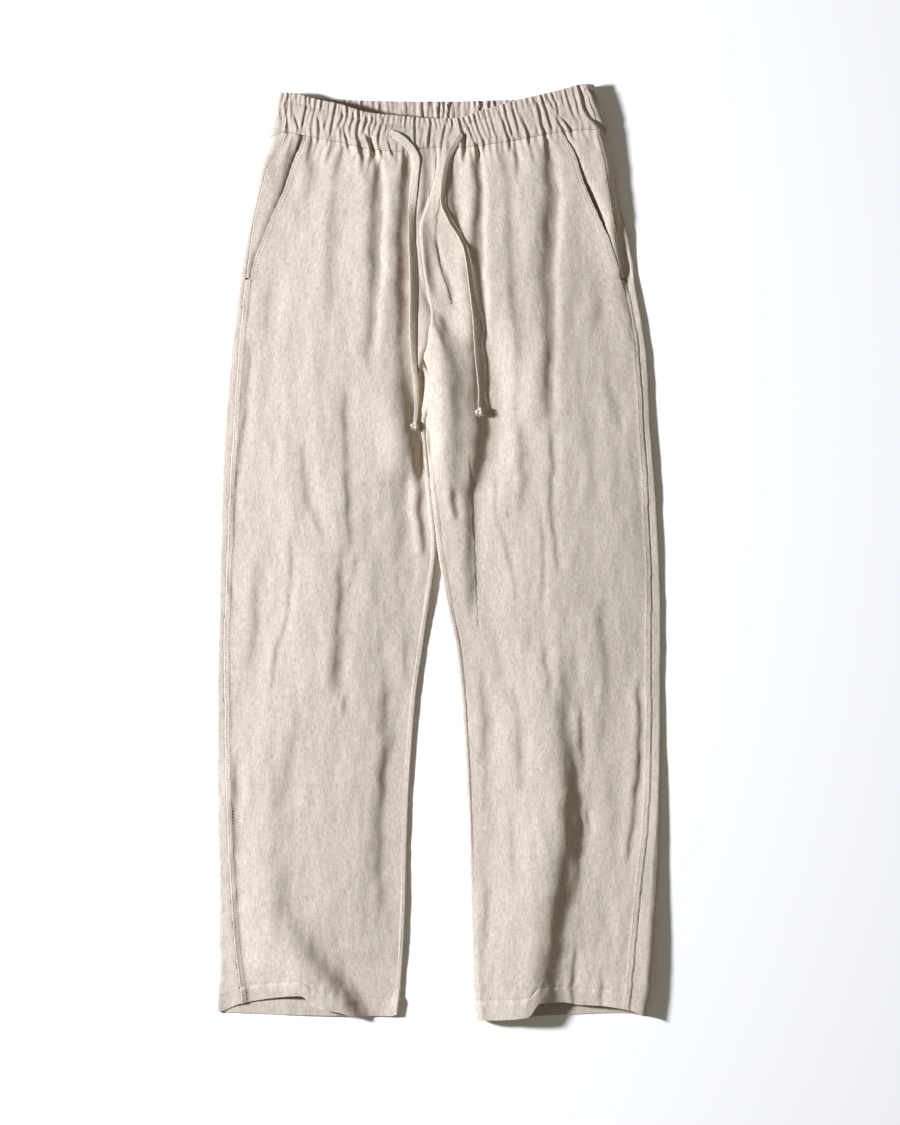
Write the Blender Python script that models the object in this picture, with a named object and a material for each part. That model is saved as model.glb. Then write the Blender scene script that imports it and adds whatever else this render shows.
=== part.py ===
"""Drawstring trousers of plain-woven hemp, laid flat on their back panels.

Units are metres with +Z up. +Y points to the waist, +X to the wearer's left, and the back
panels rest on z = 0. The tables below are in millimetres, each row one section or one fold.
Every leg is a flattened tube of cloth: a back panel that lies on the surface and wraps round
the outer fold, and a front panel that runs from the side seam over the top to the inseam.
"""
import math
from collections import namedtuple

import bmesh
import bpy
import numpy as np
from mathutils import Vector

MM = 0.001
CLOTH = 1.2                 # cloth wall, seam allowances included
SEAM_GAP = 0.3              # clearance between two sewn pieces
WAIST_GAP = 0.4             # clearance along the waistband seam
WAIST_SEAM_ALONG = 455.0    # nominal place of the waistband seam
HEM_ALONG = -508.0          # nominal place of the hems
CROTCH_ALONG = 213.6        # where the four panels meet
CROTCH_ROLL = 55.0          # length over which the centre seams sink between the legs
BACK_CENTRE = (-2.8, -16.5) # X of the straight centre back seam, at the waistband and the crotch
WAIST_REACH = 90.0          # how far below the waistband its slope is felt
HEM_REACH = 70.0            # how far above the hem its wave is felt
POCKET_END = 302.0          # lower end of the slanted pocket mouths
POCKET_UNDERLAP = 6.0       # how far the pocket facing runs under the front panel
DENSE = 60                  # points in each smooth stretch of a section before sampling
TANGENT_REACH = 0.2         # half the stretch over which a section's slope is taken

RIGHT = -1                  # the wearer's right leg lies at -X
LEFT = 1

COLOURS = {
    "hemp": (0.62, 0.55, 0.47, 1.0),
    "hemp_band": (0.60, 0.53, 0.45, 1.0),
    "hemp_tie": (0.66, 0.60, 0.52, 1.0),
}
CLOTH_ROUGHNESS = 0.85

# Leg sections. Columns: along = Y; outer, outseam, inner = X of the outer fold, the side seam
# and the inner edge; inset = X of the column line that bounds the fly and the thigh piece.
LegRow = namedtuple("LegRow", "along outer outseam inset inner")
LEG_ROWS = {
    RIGHT: [
        LegRow(455, -187.5, -170.0, -28.0, -2.8),
        LegRow(420, -199.0, -190.0, -30.0, -5.0),
        LegRow(387, -204.6, -199.0, -36.0, -13.0),
        LegRow(354, -212.3, -206.3, -44.0, -21.0),
        LegRow(321, -217.8, -210.7, -42.0, -18.5),
        LegRow(288, -222.8, -215.1, -38.0, -13.5),
        LegRow(255, -226.6, -218.9, -34.0, -8.6),
        LegRow(228, -229.4, -221.1, -36.0, -11.0),
        LegRow(213, -231.0, -222.2, -40.0, -16.5),
        LegRow(187, -233.5, -224.5, -34.0, -6.0),
        LegRow(165, -235.5, -226.0, -34.0, -9.0),
        LegRow(142, -237.0, -227.0, -38.0, -15.0),
        LegRow(100, -239.0, -230.0, -38.0, -12.0),
        LegRow(50, -241.0, -232.7, -34.0, -6.6),
        LegRow(8, -241.8, -234.3, -30.0, -2.8),
        LegRow(-53, -243.0, -236.5, -38.0, -10.0),
        LegRow(-108, -244.2, -238.2, -46.0, -17.6),
        LegRow(-163, -245.3, -237.6, -54.0, -25.3),
        LegRow(-273, -245.3, -235.4, -62.0, -33.0),
        LegRow(-383, -242.4, -229.9, -66.0, -36.3),
        LegRow(-438, -242.4, -225.5, -68.0, -38.5),
        LegRow(-487, -243.4, -220.6, -70.0, -41.8),
        LegRow(-508, -244.2, -218.9, -70.0, -44.0),
    ],
    LEFT: [
        LegRow(455, 186.5, 175.5, 17.0, -2.8),
        LegRow(420, 193.6, 184.0, 10.0, -5.0),
        LegRow(387, 199.0, 190.3, 2.0, -13.0),
        LegRow(354, 207.9, 195.8, -3.0, -21.0),
        LegRow(321, 213.4, 201.3, 0.5, -18.5),
        LegRow(288, 218.4, 210.1, 10.5, -13.5),
        LegRow(255, 224.4, 216.7, 18.0, -8.6),
        LegRow(228, 228.0, 221.1, 20.0, -11.0),
        LegRow(213, 229.9, 222.2, 22.0, -16.5),
        LegRow(187, 231.6, 224.4, 28.0, -6.0),
        LegRow(165, 232.4, 225.5, 30.0, -9.0),
        LegRow(142, 233.2, 226.6, 32.0, -15.0),
        LegRow(100, 236.5, 229.9, 34.0, -12.0),
        LegRow(50, 240.4, 232.1, 37.4, -6.0),
        LegRow(8, 242.6, 234.3, 39.5, -1.6),
        LegRow(-42, 244.8, 235.4, 41.5, 6.6),
        LegRow(-75, 245.3, 235.4, 42.7, 12.1),
        LegRow(-108, 245.3, 235.4, 45.0, 18.7),
        LegRow(-174, 245.3, 235.4, 52.0, 25.3),
        LegRow(-273, 244.8, 233.2, 60.0, 30.8),
        LegRow(-383, 240.4, 222.2, 66.0, 35.2),
        LegRow(-438, 238.2, 216.7, 68.0, 37.4),
        LegRow(-487, 234.3, 212.3, 70.0, 39.6),
        LegRow(-508, 230.5, 210.1, 70.0, 42.9),
    ],
}

# Heights of the flattened tubes. Columns: along = Y; outer_fold, inner_fold = height of the tube
# at its two folds; crown = how much higher it swells between them.
HeightRow = namedtuple("HeightRow", "along outer_fold inner_fold crown")
HEIGHT_ROWS = {
    RIGHT: [
        HeightRow(510, 20.0, 17.5, 1.0), HeightRow(455, 18.0, 17.0, 1.5),
        HeightRow(400, 14.0, 16.0, 2.5), HeightRow(330, 10.5, 14.5, 3.0),
        HeightRow(260, 8.0, 13.0, 4.0), HeightRow(213, 7.0, 12.0, 4.5),
        HeightRow(140, 6.0, 9.8, 5.0), HeightRow(80, 5.4, 7.0, 5.5),
        HeightRow(10, 5.0, 5.0, 6.0), HeightRow(-53, 4.8, 4.4, 6.0),
        HeightRow(-163, 4.6, 4.2, 6.0), HeightRow(-250, 4.6, 4.2, 6.0),
        HeightRow(-390, 5.0, 4.2, 6.5), HeightRow(-440, 5.6, 4.4, 7.0),
        HeightRow(-470, 6.2, 5.0, 7.0), HeightRow(-508, 7.0, 7.0, 7.0),
    ],
    LEFT: [
        HeightRow(510, 20.0, 17.5, 1.0), HeightRow(455, 18.0, 17.0, 1.5),
        HeightRow(420, 14.8, 16.4, 2.0), HeightRow(387, 13.5, 15.8, 2.2),
        HeightRow(354, 10.5, 15.0, 2.6), HeightRow(321, 6.8, 14.3, 3.4),
        HeightRow(288, 5.2, 13.6, 4.0), HeightRow(213, 4.7, 12.0, 5.0),
        HeightRow(140, 4.6, 9.8, 6.0), HeightRow(80, 4.5, 7.6, 6.5),
        HeightRow(0, 4.3, 5.6, 6.5), HeightRow(-53, 4.3, 4.8, 6.5),
        HeightRow(-108, 4.3, 4.8, 6.0), HeightRow(-174, 5.8, 5.5, 5.5),
        HeightRow(-273, 9.5, 7.0, 5.0), HeightRow(-330, 13.0, 9.0, 4.0),
        HeightRow(-383, 16.5, 11.0, 3.5), HeightRow(-438, 19.0, 12.5, 3.0),
        HeightRow(-487, 20.5, 13.5, 2.5), HeightRow(-508, 21.0, 14.0, 2.5),
    ],
}

# Largest folds of the fronts. Columns: start and end in X, Y; bow = sideways swing at the
# middle; width = half width; height = ridge when positive, trough when negative.
Fold = namedtuple("Fold", "start_x start_y end_x end_y bow width height")
FRONT_FOLDS = [
    Fold(-145, 430, -145, 360, 0, 12, -2.0),
    Fold(-79, 420, -87, 245, 3, 10, 1.6),
    Fold(-50, 400, -62, 40, 6, 14, 4.0),
    Fold(-28, 380, -30, 150, 2, 9, -3.0),
    Fold(-171, 105, -108, -20, 8, 14, 2.4),
    Fold(-108, -20, -124, -130, -5, 14, 2.0),
    Fold(-98, -20, -96, -150, 0, 12, -2.4),
    Fold(-74, -160, -76, -300, 4, 13, 2.6),
    Fold(-194, -315, -109, -500, 22, 16, 3.6),
    Fold(-150, -330, -142, -420, 0, 16, -2.4),
    Fold(-60, -420, -60, -505, 0, 13, 2.4),
    Fold(30, 440, 55, 60, -12, 13, -4.2),
    Fold(97, 440, 95, 170, 3, 16, 2.6),
    Fold(136, 425, 134, 170, 3, 12, -2.6),
    Fold(170, 345, 160, 240, 0, 17, 2.6),
    Fold(115, -90, 134, -300, -6, 15, 2.6),
    Fold(134, -290, 88, -508, 10, 16, 4.4),
    Fold(172, -180, 148, -508, 12, 15, -3.2),
    Fold(55, -390, 56, -500, 0, 12, -2.0),
]

FOLD_OVERRUN = 0.12         # part of a fold's length by which it runs past its ends
FOLD_FADE = 0.3             # part of its length over which it grows and dies
OUTER_CALM = 0.18           # part of the front's width, from the outer fold, that stays calm
INNER_CALM = 0.12           # the same from the inner edge
DOME_REACH = 0.5            # part of the width over which the crown swells from either edge

# Edge lines as X, Y pairs.
FRONT_WAIST_SEAM = [
    (-188, 456), (-170, 461), (-145, 457), (-109, 450), (-76, 442.5), (-43, 440), (-10, 444),
    (25, 444.5), (56, 448), (89, 453), (133, 461), (166, 464), (186, 463),
]
BACK_WAIST_SEAM = [(-188, 456), (-100, 452), (0, 450), (100, 453), (186, 463)]
FRONT_TOP_EDGE = [
    (-178, 505), (-158, 504.4), (-145, 500), (-111, 492.5), (-78, 483), (-50, 480), (0, 476.5),
    (20, 477), (46, 485), (63, 490), (97, 499), (131, 507), (161, 514.2), (171, 514),
]
BACK_TOP_EDGE = [
    (-178, 505), (-120, 500), (-50, 497.5), (0, 497), (50, 498), (106, 501), (140, 507), (171, 514),
]
FRONT_HEM = {
    RIGHT: [(-245, -507), (-220, -498), (-186, -491.5), (-152, -488), (-136, -501), (-110, -506),
            (-97, -510), (-53, -511.5), (-44, -509)],
    LEFT: [(43, -514.6), (70, -513.5), (98, -510), (112, -495), (135, -495), (153, -498),
           (178, -499), (210, -503.6), (231, -510)],
}
BACK_HEM = {
    RIGHT: [(-245, -507), (-200, -509), (-120, -511), (-44, -509)],
    LEFT: [(43, -514.6), (120, -511), (200, -508), (231, -511)],
}

# Slanted pocket mouths, X against Y from the lower end up.
POCKET_MOUTH = {
    RIGHT: [(302, -207.5), (359, -189.2), (381, -179.3), (396, -171.6), (423, -161.7), (456, -149.6)],
    LEFT: [(302, 199.5), (337, 190.3), (362, 179.3), (385, 168.3), (409, 157.3), (429, 150.7),
           (463, 134.2)],
}

# Section stations from the waistband seam to the hem.
STATIONS = [
    455, 430, 400, 365, 330, 302, 290, 271, 245, 213.6, 200, 187, 165, 135, 95, 50, 5, -38, -84,
    -150, -225, -300, -370, -430, -475, -508,
]
FLY_STATIONS = (455, 271)
THIGH_STATIONS = (135, -84)

# Cells across each panel, in the order of its stretches.
FRONT_CELLS = (2, 8, 2, 3)      # side, middle, inset line to inner tangent, inner roll
BACK_CELLS = (2, 2, 5, 3)       # side seam to fold, fold to surface, flat, inner roll
FACING_CELLS = 3
SIDE_STRETCH = 10.0             # length of the front's first stretch
EDGE_STRETCH = 7.0              # least length of the stretch next to the inner edge
BAND_CELLS = 58                 # cells across the front of the waistband
BAND_FLAT_CELLS = 50            # cells across the flat of the back waistband
BAND_RISE = (0.0, 0.5, 1.0)     # rows of the waistband, seam to top edge

# Waistband ends. Columns: rise = 0 at the seam, 1 at the top edge; fold and seam = X.
BandRow = namedtuple("BandRow", "rise right_fold right_seam left_seam left_fold")
BAND_ROWS = [
    BandRow(0.0, -187.5, -170.0, 175.5, 186.5),
    BandRow(1.0, -178.0, -165.0, 158.0, 171.0),
]
PLEAT_PITCH = 12.5
PLEAT_START = 15.0              # stretch over which the pleats grow from the folds
PLEAT_DRIFT = 5.0               # wander of the pleats about that pitch
FRONT_PLEAT = 1.5               # half depth of the front pleats
BACK_PLEAT = 0.9

# Ties: round stand-ins for the flat 9.5 mm ties. Points are X, Y, Z, from the eyelet down.
TIE_RADIUS = 2.0
TIE_ROUTES = {
    "drawstring_right": [
        (-53, 461, 20.5), (-45.5, 456, 20.6), (-37, 449.5, 20.4), (-29, 440, 19.9),
        (-25.2, 430, 19.5), (-26.8, 413, 19.2), (-28.3, 395, 18.9), (-30.3, 371, 18.0),
        (-30.2, 345, 17.1), (-28.6, 315, 16.4), (-28.2, 283, 15.4), (-28.5, 246, 14.8),
        (-27.5, 211, 14.2), (-24.5, 180, 13.1), (-25, 158, 13.0), (-26.6, 142, 14.6),
    ],
    "drawstring_left": [
        (25, 459, 19.6), (20, 451.5, 19.9), (15.3, 443.5, 20.9), (10.4, 433, 20.8),
        (6.2, 413, 20.4), (4.6, 399, 20.1), (4.0, 388, 19.7), (5.3, 379, 17.9),
        (9.3, 370, 17.0), (14.3, 360, 16.2), (19.8, 352, 15.4), (25.2, 342, 14.9),
        (28.6, 334, 15.0), (32.4, 315, 14.4), (34.6, 297, 14.0), (37.8, 277, 14.1),
        (40.4, 260, 14.2), (42.3, 231, 14.0), (43.3, 212, 13.8), (44.0, 199, 13.7),
        (45.2, 177, 13.5), (44.7, 157.5, 15.0),
    ],
}
TIE_POINTS = 32
KNOT_RADIUS = 4.2


def clear_scene():
    """Remove everything that the scene starts with."""
    for thing in list(bpy.data.objects):
        bpy.data.objects.remove(thing, do_unlink=True)


def cloth_material(name, colour):
    """A plain matt cloth in one colour."""
    material = bpy.data.materials.new(name)
    material.use_nodes = True
    shader = material.node_tree.nodes["Principled BSDF"]
    shader.inputs["Base Color"].default_value = COLOURS[colour]
    shader.inputs["Roughness"].default_value = CLOTH_ROUGHNESS
    shader.inputs["Metallic"].default_value = 0.0
    return material


def smooth_step(value):
    """0 below 0, 1 above 1 and an even curve between."""
    part = np.clip(value, 0.0, 1.0)
    return part * part * (3.0 - 2.0 * part)


def smooth_table(where, knots, values):
    """Smooth curve through a table: cubic pieces with limited slopes, level past its ends."""
    order = np.argsort(knots)
    xs = np.asarray(knots, float)[order]
    ys = np.asarray(values, float)[order]
    step = np.diff(xs)
    slope = np.diff(ys) / step
    tangent = np.zeros(len(xs))
    for i in range(1, len(xs) - 1):
        if slope[i - 1] * slope[i] > 0.0:
            tangent[i] = 2.0 * slope[i - 1] * slope[i] / (slope[i - 1] + slope[i])
    place = np.clip(where, xs[0], xs[-1])
    cell = np.clip(np.searchsorted(xs, place) - 1, 0, len(step) - 1)
    t = (place - xs[cell]) / step[cell]
    return (ys[cell] * (2 * t**3 - 3 * t**2 + 1) + ys[cell + 1] * (3 * t**2 - 2 * t**3)
            + step[cell] * (tangent[cell] * (t**3 - 2 * t**2 + t) + tangent[cell + 1] * (t**3 - t**2)))


def along_line(pairs, where):
    """Y of an edge line given as X, Y pairs."""
    return smooth_table(where, [pair[0] for pair in pairs], [pair[1] for pair in pairs])


def leg_value(side, column, along):
    """One column of a leg's sections at a place along it."""
    rows = LEG_ROWS[side]
    return smooth_table(along, [row.along for row in rows], [getattr(row, column) for row in rows])


def height_value(side, column, along):
    """One column of a leg's heights at a place along it."""
    rows = HEIGHT_ROWS[side]
    return smooth_table(along, [row.along for row in rows], [getattr(row, column) for row in rows])


def fold_height(x, y):
    """Sum of the soft ridges and troughs at a place on the fronts."""
    total = np.zeros_like(x)
    for fold in FRONT_FOLDS:
        run = np.array([fold.end_x - fold.start_x, fold.end_y - fold.start_y], float)
        length = np.hypot(*run)
        ahead = ((x - fold.start_x) * run[0] + (y - fold.start_y) * run[1]) / length**2
        across = ((x - fold.start_x) * -run[1] + (y - fold.start_y) * run[0]) / length
        swing = fold.bow * np.sin(np.pi * np.clip(ahead, 0.0, 1.0))
        lead = FOLD_OVERRUN + ahead
        tail = 1.0 + FOLD_OVERRUN - ahead
        fade = smooth_step(lead / FOLD_FADE) * smooth_step(tail / FOLD_FADE)
        total = total + fold.height * fade * np.exp(-((across - swing) / fold.width) ** 2)
    return total


def front_height(side, x, along):
    """Height of a front panel over the flat part of its section."""
    outer_fold = height_value(side, "outer_fold", along)
    inner_fold = height_value(side, "inner_fold", along)
    start = leg_value(side, "outer", along) - side * outer_fold / 2.0
    end = leg_value(side, "inner", along) + side * inner_fold / 2.0 * np.cos(front_roll(along))
    part = np.clip((x - start) / (end - start), 0.0, 1.0)
    level = outer_fold + (inner_fold - outer_fold) * smooth_step(part)
    inside = smooth_step(part / OUTER_CALM) * smooth_step((1.0 - part) / INNER_CALM)
    dome = smooth_step(part / DOME_REACH) * smooth_step((1.0 - part) / DOME_REACH)
    return level + dome * height_value(side, "crown", along) + inside * fold_height(x, along)


def front_roll(along):
    """Angle at which a front ends: level at the fly, upright at the inseam."""
    return math.pi / 2.0 * smooth_step((along - CROTCH_ALONG) / CROTCH_ROLL)


def centre_back_shift(along):
    """How far the straight centre back seam lies from the fly, above the crotch."""
    if along <= CROTCH_ALONG:
        return 0.0
    straight = np.interp(along, (CROTCH_ALONG, WAIST_SEAM_ALONG), BACK_CENTRE[::-1])
    return straight - leg_value(RIGHT, "inner", along)


def edge_weights(along):
    """How strongly the waist's and the hem's own lines shift a station."""
    waist = smooth_step(1.0 - (WAIST_SEAM_ALONG - along) / WAIST_REACH)
    hem = smooth_step(1.0 - (along - HEM_ALONG) / HEM_REACH)
    return waist, hem


def station_y(side, x, wrap, along):
    """Y of section points: the station, bent to the waist and hem lines near its ends.

    wrap is 0 on the front, 1 on the surface and between on the folds.
    """
    waist, hem = edge_weights(along)
    front = (along_line(FRONT_WAIST_SEAM, x) - WAIST_SEAM_ALONG) * waist
    front = front + (along_line(FRONT_HEM[side], x) - HEM_ALONG) * hem
    back = (along_line(BACK_WAIST_SEAM, x) - WAIST_SEAM_ALONG) * waist
    back = back + (along_line(BACK_HEM[side], x) - HEM_ALONG) * hem
    return along + front * (1.0 - wrap) + back * wrap


def arc(centre_x, radius, start, end, mirror):
    """Points on a round fold from one angle to another, standing on the surface."""
    angle = np.linspace(start, end, DENSE)
    x = centre_x + mirror * radius * np.cos(angle)
    z = radius + radius * np.sin(angle)
    return x, z


def section(side, along):
    """A leg's section as two dense paths of x, y, z that start at the outer fold's edge.

    The front path runs over the top to the inner edge, the back path under it on the surface.
    The index at which each starts to roll round the inner edge follows them.
    """
    outer_radius = height_value(side, "outer_fold", along) / 2.0
    inner_radius = height_value(side, "inner_fold", along) / 2.0
    outer = leg_value(side, "outer", along)
    inner = leg_value(side, "inner", along) + side * SEAM_GAP / 2.0
    roll = front_roll(along)
    outer_centre = outer - side * outer_radius
    inner_centre = inner + side * inner_radius * np.cos(roll)
    back_centre = inner_centre + centre_back_shift(along)
    up_x, up_z = arc(outer_centre, outer_radius, 0.0, math.pi / 2.0, side)
    top_x = np.linspace(outer_centre, inner_centre, 4 * DENSE)
    top_z = front_height(side, top_x, along)
    roll_x, roll_z = arc(inner_centre, inner_radius, math.pi / 2.0, roll, -side)
    front_x = np.concatenate([up_x, top_x[1:-1], roll_x])
    front_z = np.concatenate([up_z, top_z[1:-1], roll_z])
    front_wrap = np.concatenate([
        1.0 - up_z / (2.0 * outer_radius), np.zeros(len(top_x) - 2),
        (1.0 - roll_z / (2.0 * inner_radius)) * (along < CROTCH_ALONG),
    ])
    down_x, down_z = arc(outer_centre, outer_radius, 0.0, -math.pi / 2.0, side)
    flat_x = np.linspace(outer_centre, back_centre, DENSE)
    rise_x, rise_z = arc(back_centre, inner_radius, -math.pi / 2.0, -roll, -side)
    back_x = np.concatenate([down_x, flat_x[1:-1], rise_x])
    back_z = np.concatenate([down_z, np.zeros(len(flat_x) - 2), rise_z])
    back_wrap = np.concatenate([
        1.0 - down_z / (2.0 * outer_radius), np.ones(len(flat_x) - 2),
        1.0 - rise_z / (2.0 * inner_radius) * (along < CROTCH_ALONG),
    ])
    front = np.stack([front_x, station_y(side, front_x, front_wrap, along), front_z], axis=1)
    back = np.stack([back_x, station_y(side, back_x, back_wrap, along), back_z], axis=1)
    return front, back, len(up_x) + len(top_x) - 2, len(down_x) + len(flat_x) - 2


def lengths_of(path):
    """Distance along a path at each of its points, in the plane of the section."""
    steps = np.hypot(np.diff(path[:, 0]), np.diff(path[:, 2]))
    return np.concatenate([[0.0], np.cumsum(steps)])


def sample(path, marks, cells, turn):
    """Points on a path with their normals: each stretch between two marks cut into its cells.

    Each row holds x, y, z and the x and z of the normal. turn is 1 where the outer side lies
    to the left of the path's run in the XZ plane, and -1 where it lies to the right.
    """
    run = lengths_of(path)
    places = []
    for start, end, count in zip(marks[:-1], marks[1:], cells):
        places.extend(np.linspace(start, end, count + 1)[1 if places else 0:])
    places = np.array(places)

    def at(distance):
        held = np.clip(distance, 0.0, run[-1])
        return np.stack([np.interp(held, run, path[:, axis]) for axis in range(3)], axis=1)

    lean = at(places + TANGENT_REACH) - at(places - TANGENT_REACH)
    size = np.hypot(lean[:, 0], lean[:, 2])
    normal = np.stack([-lean[:, 2] * turn / size, lean[:, 0] * turn / size], axis=1)
    return np.concatenate([at(places), normal], axis=1)


def place_of(path, x, side):
    """Distance along a front path at which it reaches a given X."""
    ahead = (path[:, 0] - x) * -side
    return lengths_of(path)[int(np.argmax(ahead >= 0.0))]


def seam_trim(along):
    """Half the inseam's clearance, below the crotch only."""
    return SEAM_GAP / 2.0 if along <= CROTCH_ALONG else 0.0


def front_grid(side):
    """Outer points of a front panel, station by station."""
    grid = []
    for along in STATIONS:
        path, _, roll_index, _ = section(side, along)
        run = lengths_of(path)
        if along > POCKET_END - 1.0:
            start_x = along_line(POCKET_MOUTH[side], along)
        else:
            start_x = leg_value(side, "outseam", along)
        start = place_of(path, start_x, side) + SEAM_GAP / 2.0
        inset = place_of(path, leg_value(side, "inset", along), side)
        edge = min(run[roll_index], run[-1] - EDGE_STRETCH)
        marks = (start, start + SIDE_STRETCH, inset, edge, run[-1] - seam_trim(along))
        grid.append(sample(path, marks, FRONT_CELLS, -side))
    return np.array(grid)


def back_grid(side):
    """Outer points of a back panel, from the side seam round the fold to the inner edge."""
    grid = []
    for along in STATIONS:
        front, back, _, roll_index = section(side, along)
        seam = place_of(front, leg_value(side, "outseam", along), side) - SEAM_GAP / 2.0
        over = sample(front, (seam, 0.0), BACK_CELLS[:1], -side)
        run = lengths_of(back)
        edge = min(run[roll_index], run[-1] - EDGE_STRETCH)
        marks = (0.0, run[DENSE - 1], edge, run[-1] - seam_trim(along))
        under = sample(back, marks, BACK_CELLS[1:], side)
        grid.append(np.concatenate([over, under[1:]]))
    return np.array(grid)


def facing_grid(side):
    """Outer points of the pocket facing: level at the side seam, sunk under the front's edge."""
    grid = []
    for along in [station for station in STATIONS if station >= POCKET_END]:
        path = section(side, along)[0]
        start = place_of(path, leg_value(side, "outseam", along), side) + SEAM_GAP / 2.0
        mouth = place_of(path, along_line(POCKET_MOUTH[side], along), side)
        row = sample(path, (start, mouth, mouth + POCKET_UNDERLAP), (FACING_CELLS - 1, 1), -side)
        sink = np.concatenate([np.linspace(0.0, 1.0, FACING_CELLS), [1.0]]) * (CLOTH + SEAM_GAP)
        row[:, 0] -= sink * row[:, 3]
        row[:, 2] -= sink * row[:, 4]
        grid.append(row)
    return np.array(grid)


def pleat(x):
    """Uneven wave of the gathered waistband, -1 to 1."""
    drift = PLEAT_DRIFT * (np.sin(x / 23.0) + 0.6 * np.sin(x / 9.7 + 1.3))
    return np.sin(2.0 * math.pi * (x + drift) / PLEAT_PITCH)


def band_value(column, rise):
    """One column of the waistband's ends at a given rise."""
    return float(np.interp(rise, [row.rise for row in BAND_ROWS],
                           [getattr(row, column) for row in BAND_ROWS]))


def band_y(x, wrap, rise):
    """Y of a point of the waistband, between its seam and its top edge."""
    seam = along_line(FRONT_WAIST_SEAM, x) * (1.0 - wrap) + along_line(BACK_WAIST_SEAM, x) * wrap
    edge = along_line(FRONT_TOP_EDGE, x) * (1.0 - wrap) + along_line(BACK_TOP_EDGE, x) * wrap
    low = seam + WAIST_GAP
    return low + (edge - low) * rise


def band_section(rise):
    """The waistband's section as two dense paths from its right fold to its left one."""
    radius = height_value(RIGHT, "outer_fold", WAIST_SEAM_ALONG) / 2.0
    right, left = band_value("right_fold", rise) + radius, band_value("left_fold", rise) - radius
    quarter = math.pi / 2.0
    right_up, left_up = arc(right, radius, 0.0, quarter, RIGHT), arc(left, radius, quarter, 0.0, LEFT)
    right_down, left_down = arc(right, radius, 0.0, -quarter, RIGHT), arc(left, radius, -quarter, 0.0, LEFT)
    middle = np.linspace(right, left, 8 * DENSE)[1:-1]
    calm = smooth_step((middle - right) / PLEAT_START) * smooth_step((left - middle) / PLEAT_START)
    centre = leg_value(RIGHT, "inner", WAIST_SEAM_ALONG)
    top = np.where(middle < centre, front_height(RIGHT, middle, WAIST_SEAM_ALONG),
                   front_height(LEFT, middle, WAIST_SEAM_ALONG))
    top = top + calm * FRONT_PLEAT * pleat(middle) * rise
    base = calm * BACK_PLEAT * (1.0 + pleat(middle + PLEAT_PITCH / 3.0)) * rise
    paths = []
    for (start_x, start_z), z, (end_x, end_z), on_surface in (
            (right_up, top, left_up, 0.0), (right_down, base, left_down, 1.0)):
        x = np.concatenate([start_x, middle, end_x])
        wrap = np.concatenate([1.0 - start_z / (2.0 * radius), np.full(len(middle), on_surface),
                               1.0 - end_z / (2.0 * radius)])
        paths.append(np.stack([x, band_y(x, wrap, rise), np.concatenate([start_z, z, end_z])], axis=1))
    return paths


def meet_edge(row, edge):
    """Set the Y of a waistband's lowest row by the panel edge that it is sewn to."""
    order = np.argsort(edge[:, 0])
    row[:, 1] = np.interp(row[:, 0], edge[order, 0], edge[order, 1]) + WAIST_GAP
    return row


def band_grids(fronts, facings, backs):
    """Outer points of the front and the back waistband."""
    front_rows, back_rows = [], []
    for rise in BAND_RISE:
        top, base = band_section(rise)
        run, low_run = lengths_of(top), lengths_of(base)
        start = place_of(top, band_value("right_seam", rise), RIGHT)
        end = place_of(top, band_value("left_seam", rise), RIGHT)
        half = WAIST_GAP / 2.0
        front_rows.append(sample(top, (start + half, end - half), (BAND_CELLS,), 1))
        over, under = BACK_CELLS[:2]
        first = sample(top, (start - half, 0.0), (over,), 1)
        marks = (0.0, low_run[DENSE - 1], low_run[-DENSE], low_run[-1])
        middle = sample(base, marks, (under, BAND_FLAT_CELLS, under), -1)
        last = sample(top, (run[-1], end + half), (over,), 1)
        back_rows.append(np.concatenate([first, middle[1:-1], last]))
    edges = [grid[0] for grid in fronts.values()] + [grid[0][:FACING_CELLS - 1] for grid in facings.values()]
    meet_edge(front_rows[0], np.concatenate(edges))
    flat = slice(sum(BACK_CELLS[:2]), -sum(BACK_CELLS[:2]))
    meet_edge(back_rows[0][flat], np.concatenate([grid[0][sum(BACK_CELLS[:2]):] for grid in backs.values()]))
    return np.array(front_rows), np.array(back_rows)


def wall(name, grid, colour, lift=0.0):
    """Closed cloth wall under a grid of outer points and normals; lift moves it out."""
    point = grid[:, :, :3]
    normal = np.zeros_like(point)
    normal[:, :, 0] = grid[:, :, 3]
    normal[:, :, 2] = grid[:, :, 4]
    skins = [(point + normal * lift) * MM, (point + normal * (lift - CLOTH)) * MM]
    rows, columns = grid.shape[:2]
    mesh = bmesh.new()
    verts = [[[mesh.verts.new(Vector(place)) for place in row] for row in skin] for skin in skins]
    for skin in verts:
        for i in range(rows - 1):
            for j in range(columns - 1):
                mesh.faces.new((skin[i][j], skin[i][j + 1], skin[i + 1][j + 1]))
                mesh.faces.new((skin[i][j], skin[i + 1][j + 1], skin[i + 1][j]))
    rim = [(0, j) for j in range(columns)] + [(i, columns - 1) for i in range(1, rows)]
    rim += [(rows - 1, j) for j in range(columns - 2, -1, -1)]
    rim += [(i, 0) for i in range(rows - 2, 0, -1)]
    top, base = verts
    for (i, j), (k, m) in zip(rim, rim[1:] + rim[:1]):
        mesh.faces.new((top[i][j], top[k][m], base[k][m]))
        mesh.faces.new((top[i][j], base[k][m], base[i][j]))
    bmesh.ops.recalc_face_normals(mesh, faces=mesh.faces)
    return add_mesh(name, mesh, colour)


def add_mesh(name, mesh, colour):
    """Turn a bmesh into a named object with its own material."""
    data = bpy.data.meshes.new(name)
    mesh.to_mesh(data)
    mesh.free()
    data.shade_smooth()
    data.set_sharp_from_angle(angle=math.radians(50.0))
    data.materials.append(cloth_material(name + "_cloth", colour))
    thing = bpy.data.objects.new(name, data)
    bpy.context.collection.objects.link(thing)
    return thing


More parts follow.
